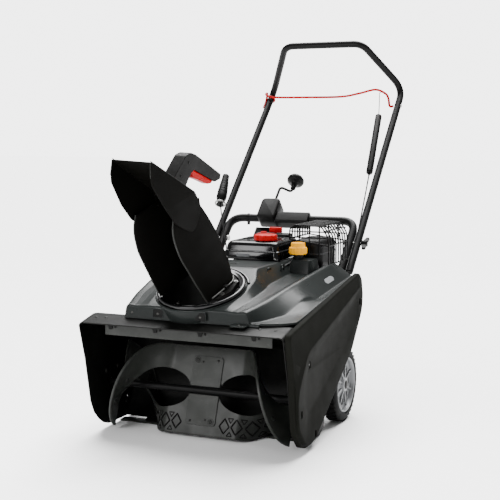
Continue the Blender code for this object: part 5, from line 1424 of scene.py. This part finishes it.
def add_cable():
    top, sleeve = Vector((0.168, 1.176, 0.918)), Vector((0.1755, 1.14, 0.846))
    low, foot = Vector((0.1975, 0.965, 0.662)), Vector((0.2185, 0.765, 0.4665))
    along = (sleeve - low).normalized()
    hook = [top + Vector((0.002, 0.004, 0.006)), top + Vector((0.0, -0.003, 0.004)),
        top + Vector((0.0, -0.004, -0.01)), top.lerp(sleeve, 0.5), sleeve]
    make("cable_hook", sweep(catmull(hook, 6), 0.0014, 10), "zinc_plated_steel", "control_cable")
    long = (sleeve - low).length
    grip = turned([(0.0, 0.0), (0.009, 0.0), (0.0104, 0.002), (0.0108, 0.006),
        (0.0108, long - 0.004), (0.01, long - 0.001), (0.006, long), (0.0, long)], low, along, 36)
    sheath = turned([(0.0, 0.0), (0.003, 0.0), (0.003, 0.01), (0.0, 0.01)], low - along * 0.01,
        along, 20)
    make("cable_sleeve", merge(grip, sheath), "black_plastic", "control_cable",
        replaces=["bail_cable"], smooth=40.0)
    wire_path = catmull([low, low.lerp(foot, 0.3) + Vector((0.0006, 0, -0.001)),
        low.lerp(foot, 0.7) + Vector((0.0006, 0, -0.001)), foot], 10)
    make("cable_wire", sweep(wire_path, 0.0022, 12), "black_plastic", "control_cable")
    route = [foot, (0.222, 0.735, 0.435), (0.227, 0.69, 0.39), (0.235, 0.63, 0.345),
        (0.248, 0.58, 0.318), (0.27, 0.5, 0.312)]
    lower_path = catmull(route, 10)
    lower = make("cable_lower", sweep(lower_path, 0.0022, 12), "black_plastic", None,
        replaces=["bail_cable_lower"])
    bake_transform(lower)


def add_starter():
    guide = Vector((-0.2665, 0.838, 0.5605))
    over, foot = Vector((-0.2325, 0.776, 0.5215)), Vector((-0.119, 0.594, 0.354))
    path = []
    for a, b in ((foot, over), (over, guide)):
        path.extend(a.lerp(b, k / 14) for k in range(14))
    path.append(guide)
    rope = make("starter_cord", twisted(path, 0.0022), "cord", None, replaces=["starter_rope"])
    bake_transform(rope)
    axis = (Vector((-0.284, 0.925, 0.652)) - guide).normalized()
    base = guide - axis * 0.0035
    turn = turn_to(axis)
    profile = [(0.0, -0.0006), (0.0118, -0.0006), (0.0126, 0.0006), (0.0118, 0.0022),
        (0.0096, 0.0044), (0.0128, 0.016), (0.0165, 0.026), (0.0172, 0.036), (0.0162, 0.05),
        (0.0142, 0.08), (0.0118, 0.105), (0.0116, 0.116), (0.0112, 0.124), (0.008, 0.1272),
        (0.0, 0.1275)]
    make("starter_handle_grip", turned(profile, base, axis, 40), "black_plastic", "starter_handle",
        replaces=["starter_grip"], smooth=45.0)
    run = [base + axis * (0.0005 * k - 0.008) for k in range(29)]
    tail = make("starter_cord_end", sweep(run, 0.0021, 12), "cord", None)
    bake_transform(tail)
    ribs = []
    for k in range(5):
        at_r = base + axis * (0.05 + 0.011 * k)
        ring = [at_r + turn @ Vector(((0.016 - 0.00085 * k) * math.cos(a),
            (0.016 - 0.00085 * k) * math.sin(a), 0)) for a in (math.tau * j / 32
            for j in range(33))]
        ribs.append(sweep(ring, 0.0011, 8))
    make("starter_grip_ribs", merge(*ribs), "black_plastic", "starter_handle")
    eye = [guide + turn @ Vector((0.016 * math.cos(a), 0.016 * math.sin(a), 0))
        for a in (math.radians(10.0 * k) for k in range(37))]
    leg = leg_point(-0.2448, 0.838)
    link = [guide + (leg - guide).normalized() * 0.0158, leg.lerp(guide, 0.25), leg]
    make("guide_eye", merge(sweep(eye, 0.0026, 12), sweep(catmull(link, 6), 0.0024, 10)),
        "zinc_plated_steel", "handlebar", replaces=["rope_guide"])


def twisted(path, radius):
    """Three-strand rope along a path."""
    lengths = [0.0]
    for a, b in zip(path, path[1:]):
        lengths.append(lengths[-1] + (b - a).length)
    run = lengths[-1]
    steps = int(run / 0.0016)
    strands = []
    for s in range(3):
        line = []
        for k in range(steps + 1):
            d = run * k / steps
            i = max(j for j in range(len(lengths) - 1) if lengths[j] <= d)
            t = (d - lengths[i]) / max(1e-9, lengths[i + 1] - lengths[i])
            p = path[i].lerp(path[i + 1], min(1.0, t))
            basis = turn_to((path[i + 1] - path[i]).normalized())
            a = math.tau * (d / 0.01 + s / 3.0)
            line.append(p + basis @ Vector((radius * 0.48 * math.cos(a),
                radius * 0.48 * math.sin(a), 0)))
        strands.append(sweep(line, radius * 0.56, 7))
    return merge(*strands)


# ---------------------------------------------------------------- chute crank
def crank_spot(up):
    """Point on the crank's turning axis, in the crossbar's frame."""
    return (CRANK_XZ[0], up, CRANK_XZ[1])


def add_crank():
    box_line = fillet(((-0.112, -0.016), (-0.05, -0.016), (-0.05, 0.064), (-0.112, 0.064)),
        [0.012, 0.008, 0.014, 0.016], 6)
    rows = []
    for w, shrink in ((-0.0284, 0.007), (-0.0278, 0.0042), (-0.0262, 0.0018), (-0.023, 0.0),
            (0.023, 0.0), (0.0262, 0.0018), (0.0278, 0.0042), (0.0284, 0.007)):
        rows.append(lifted(inset(box_line, shrink), w))
    gearbox = make("crank_gear_case", on_bar(loft(rows)), "black_plastic",
        replaces=["crank_gearbox"], smooth=40.0)
    bored(gearbox, on_bar(rod(crank_spot(0.05), crank_spot(0.08), 0.0052, sides=20)))
    cover_line = fillet(((-0.026, -0.018), (0.018, -0.018), (0.018, 0.0185), (-0.026, 0.0185)),
        0.008, 6)
    rows = []
    for x, shrink in ((-0.0488, 0.002), (-0.0475, 0.0), (0.056, 0.0), (0.0578, 0.0016),
            (0.058, 0.0035)):
        rows.append([Vector((x, p[0], p[1])) for p in inset(cover_line, shrink)])
    make("bar_cover", on_bar(loft(rows)), "black_plastic", replaces=["crossbar_cover"], smooth=40.0)
    path = tube_path([crank_spot(0.03), crank_spot(0.142), (-0.039, 0.124, -0.01),
        (-0.039, 0.182, -0.01)], [0, 0.01, 0.01, 0])
    make("crank_bar", on_bar(sweep(path, 0.0042, 18)), "black_painted_steel", "crank",
        replaces=["crank_rod"])
    knob = turned([(0.0, 0.053), (0.007, 0.0527), (0.015, 0.051), (0.0222, 0.047), (0.0268, 0.041),
        (0.028, 0.0345), (0.026, 0.0285), (0.019, 0.0245), (0.013, 0.0225), (0.0104, 0.019),
        (0.0088, 0.01), (0.008, 0.0), (0.0, 0.0)], (-0.039, 0.1385, -0.01), (0, 1, 0), 48)
    make("crank_ball", on_bar(knob), "black_plastic", "crank_handle", replaces=["crank_knob"],
        smooth=60.0)
    collar = on_bar(turned([(0.0042, 0.0), (0.0085, 0.0), (0.0085, 0.005), (0.0042, 0.005)],
        crank_spot(0.0642), (0, 1, 0), 28, closed=True))
    make("crank_collar", collar, "zinc_plated_steel")


# ---------------------------------------------------------------- everything
add_studio()
add_camera()
add_housing()
add_housing_details()
add_auger()
add_wheel("left", 1.0)
add_wheel("right", -1.0)
add_frame_parts()
add_belt_cover()
add_shroud()
add_chute()
add_deflector()
add_grip()
add_engine()
add_engine_cover()
add_caps()
add_controls()
add_muffler()
add_handles()
add_bail()
add_cable()
add_starter()
add_crank()
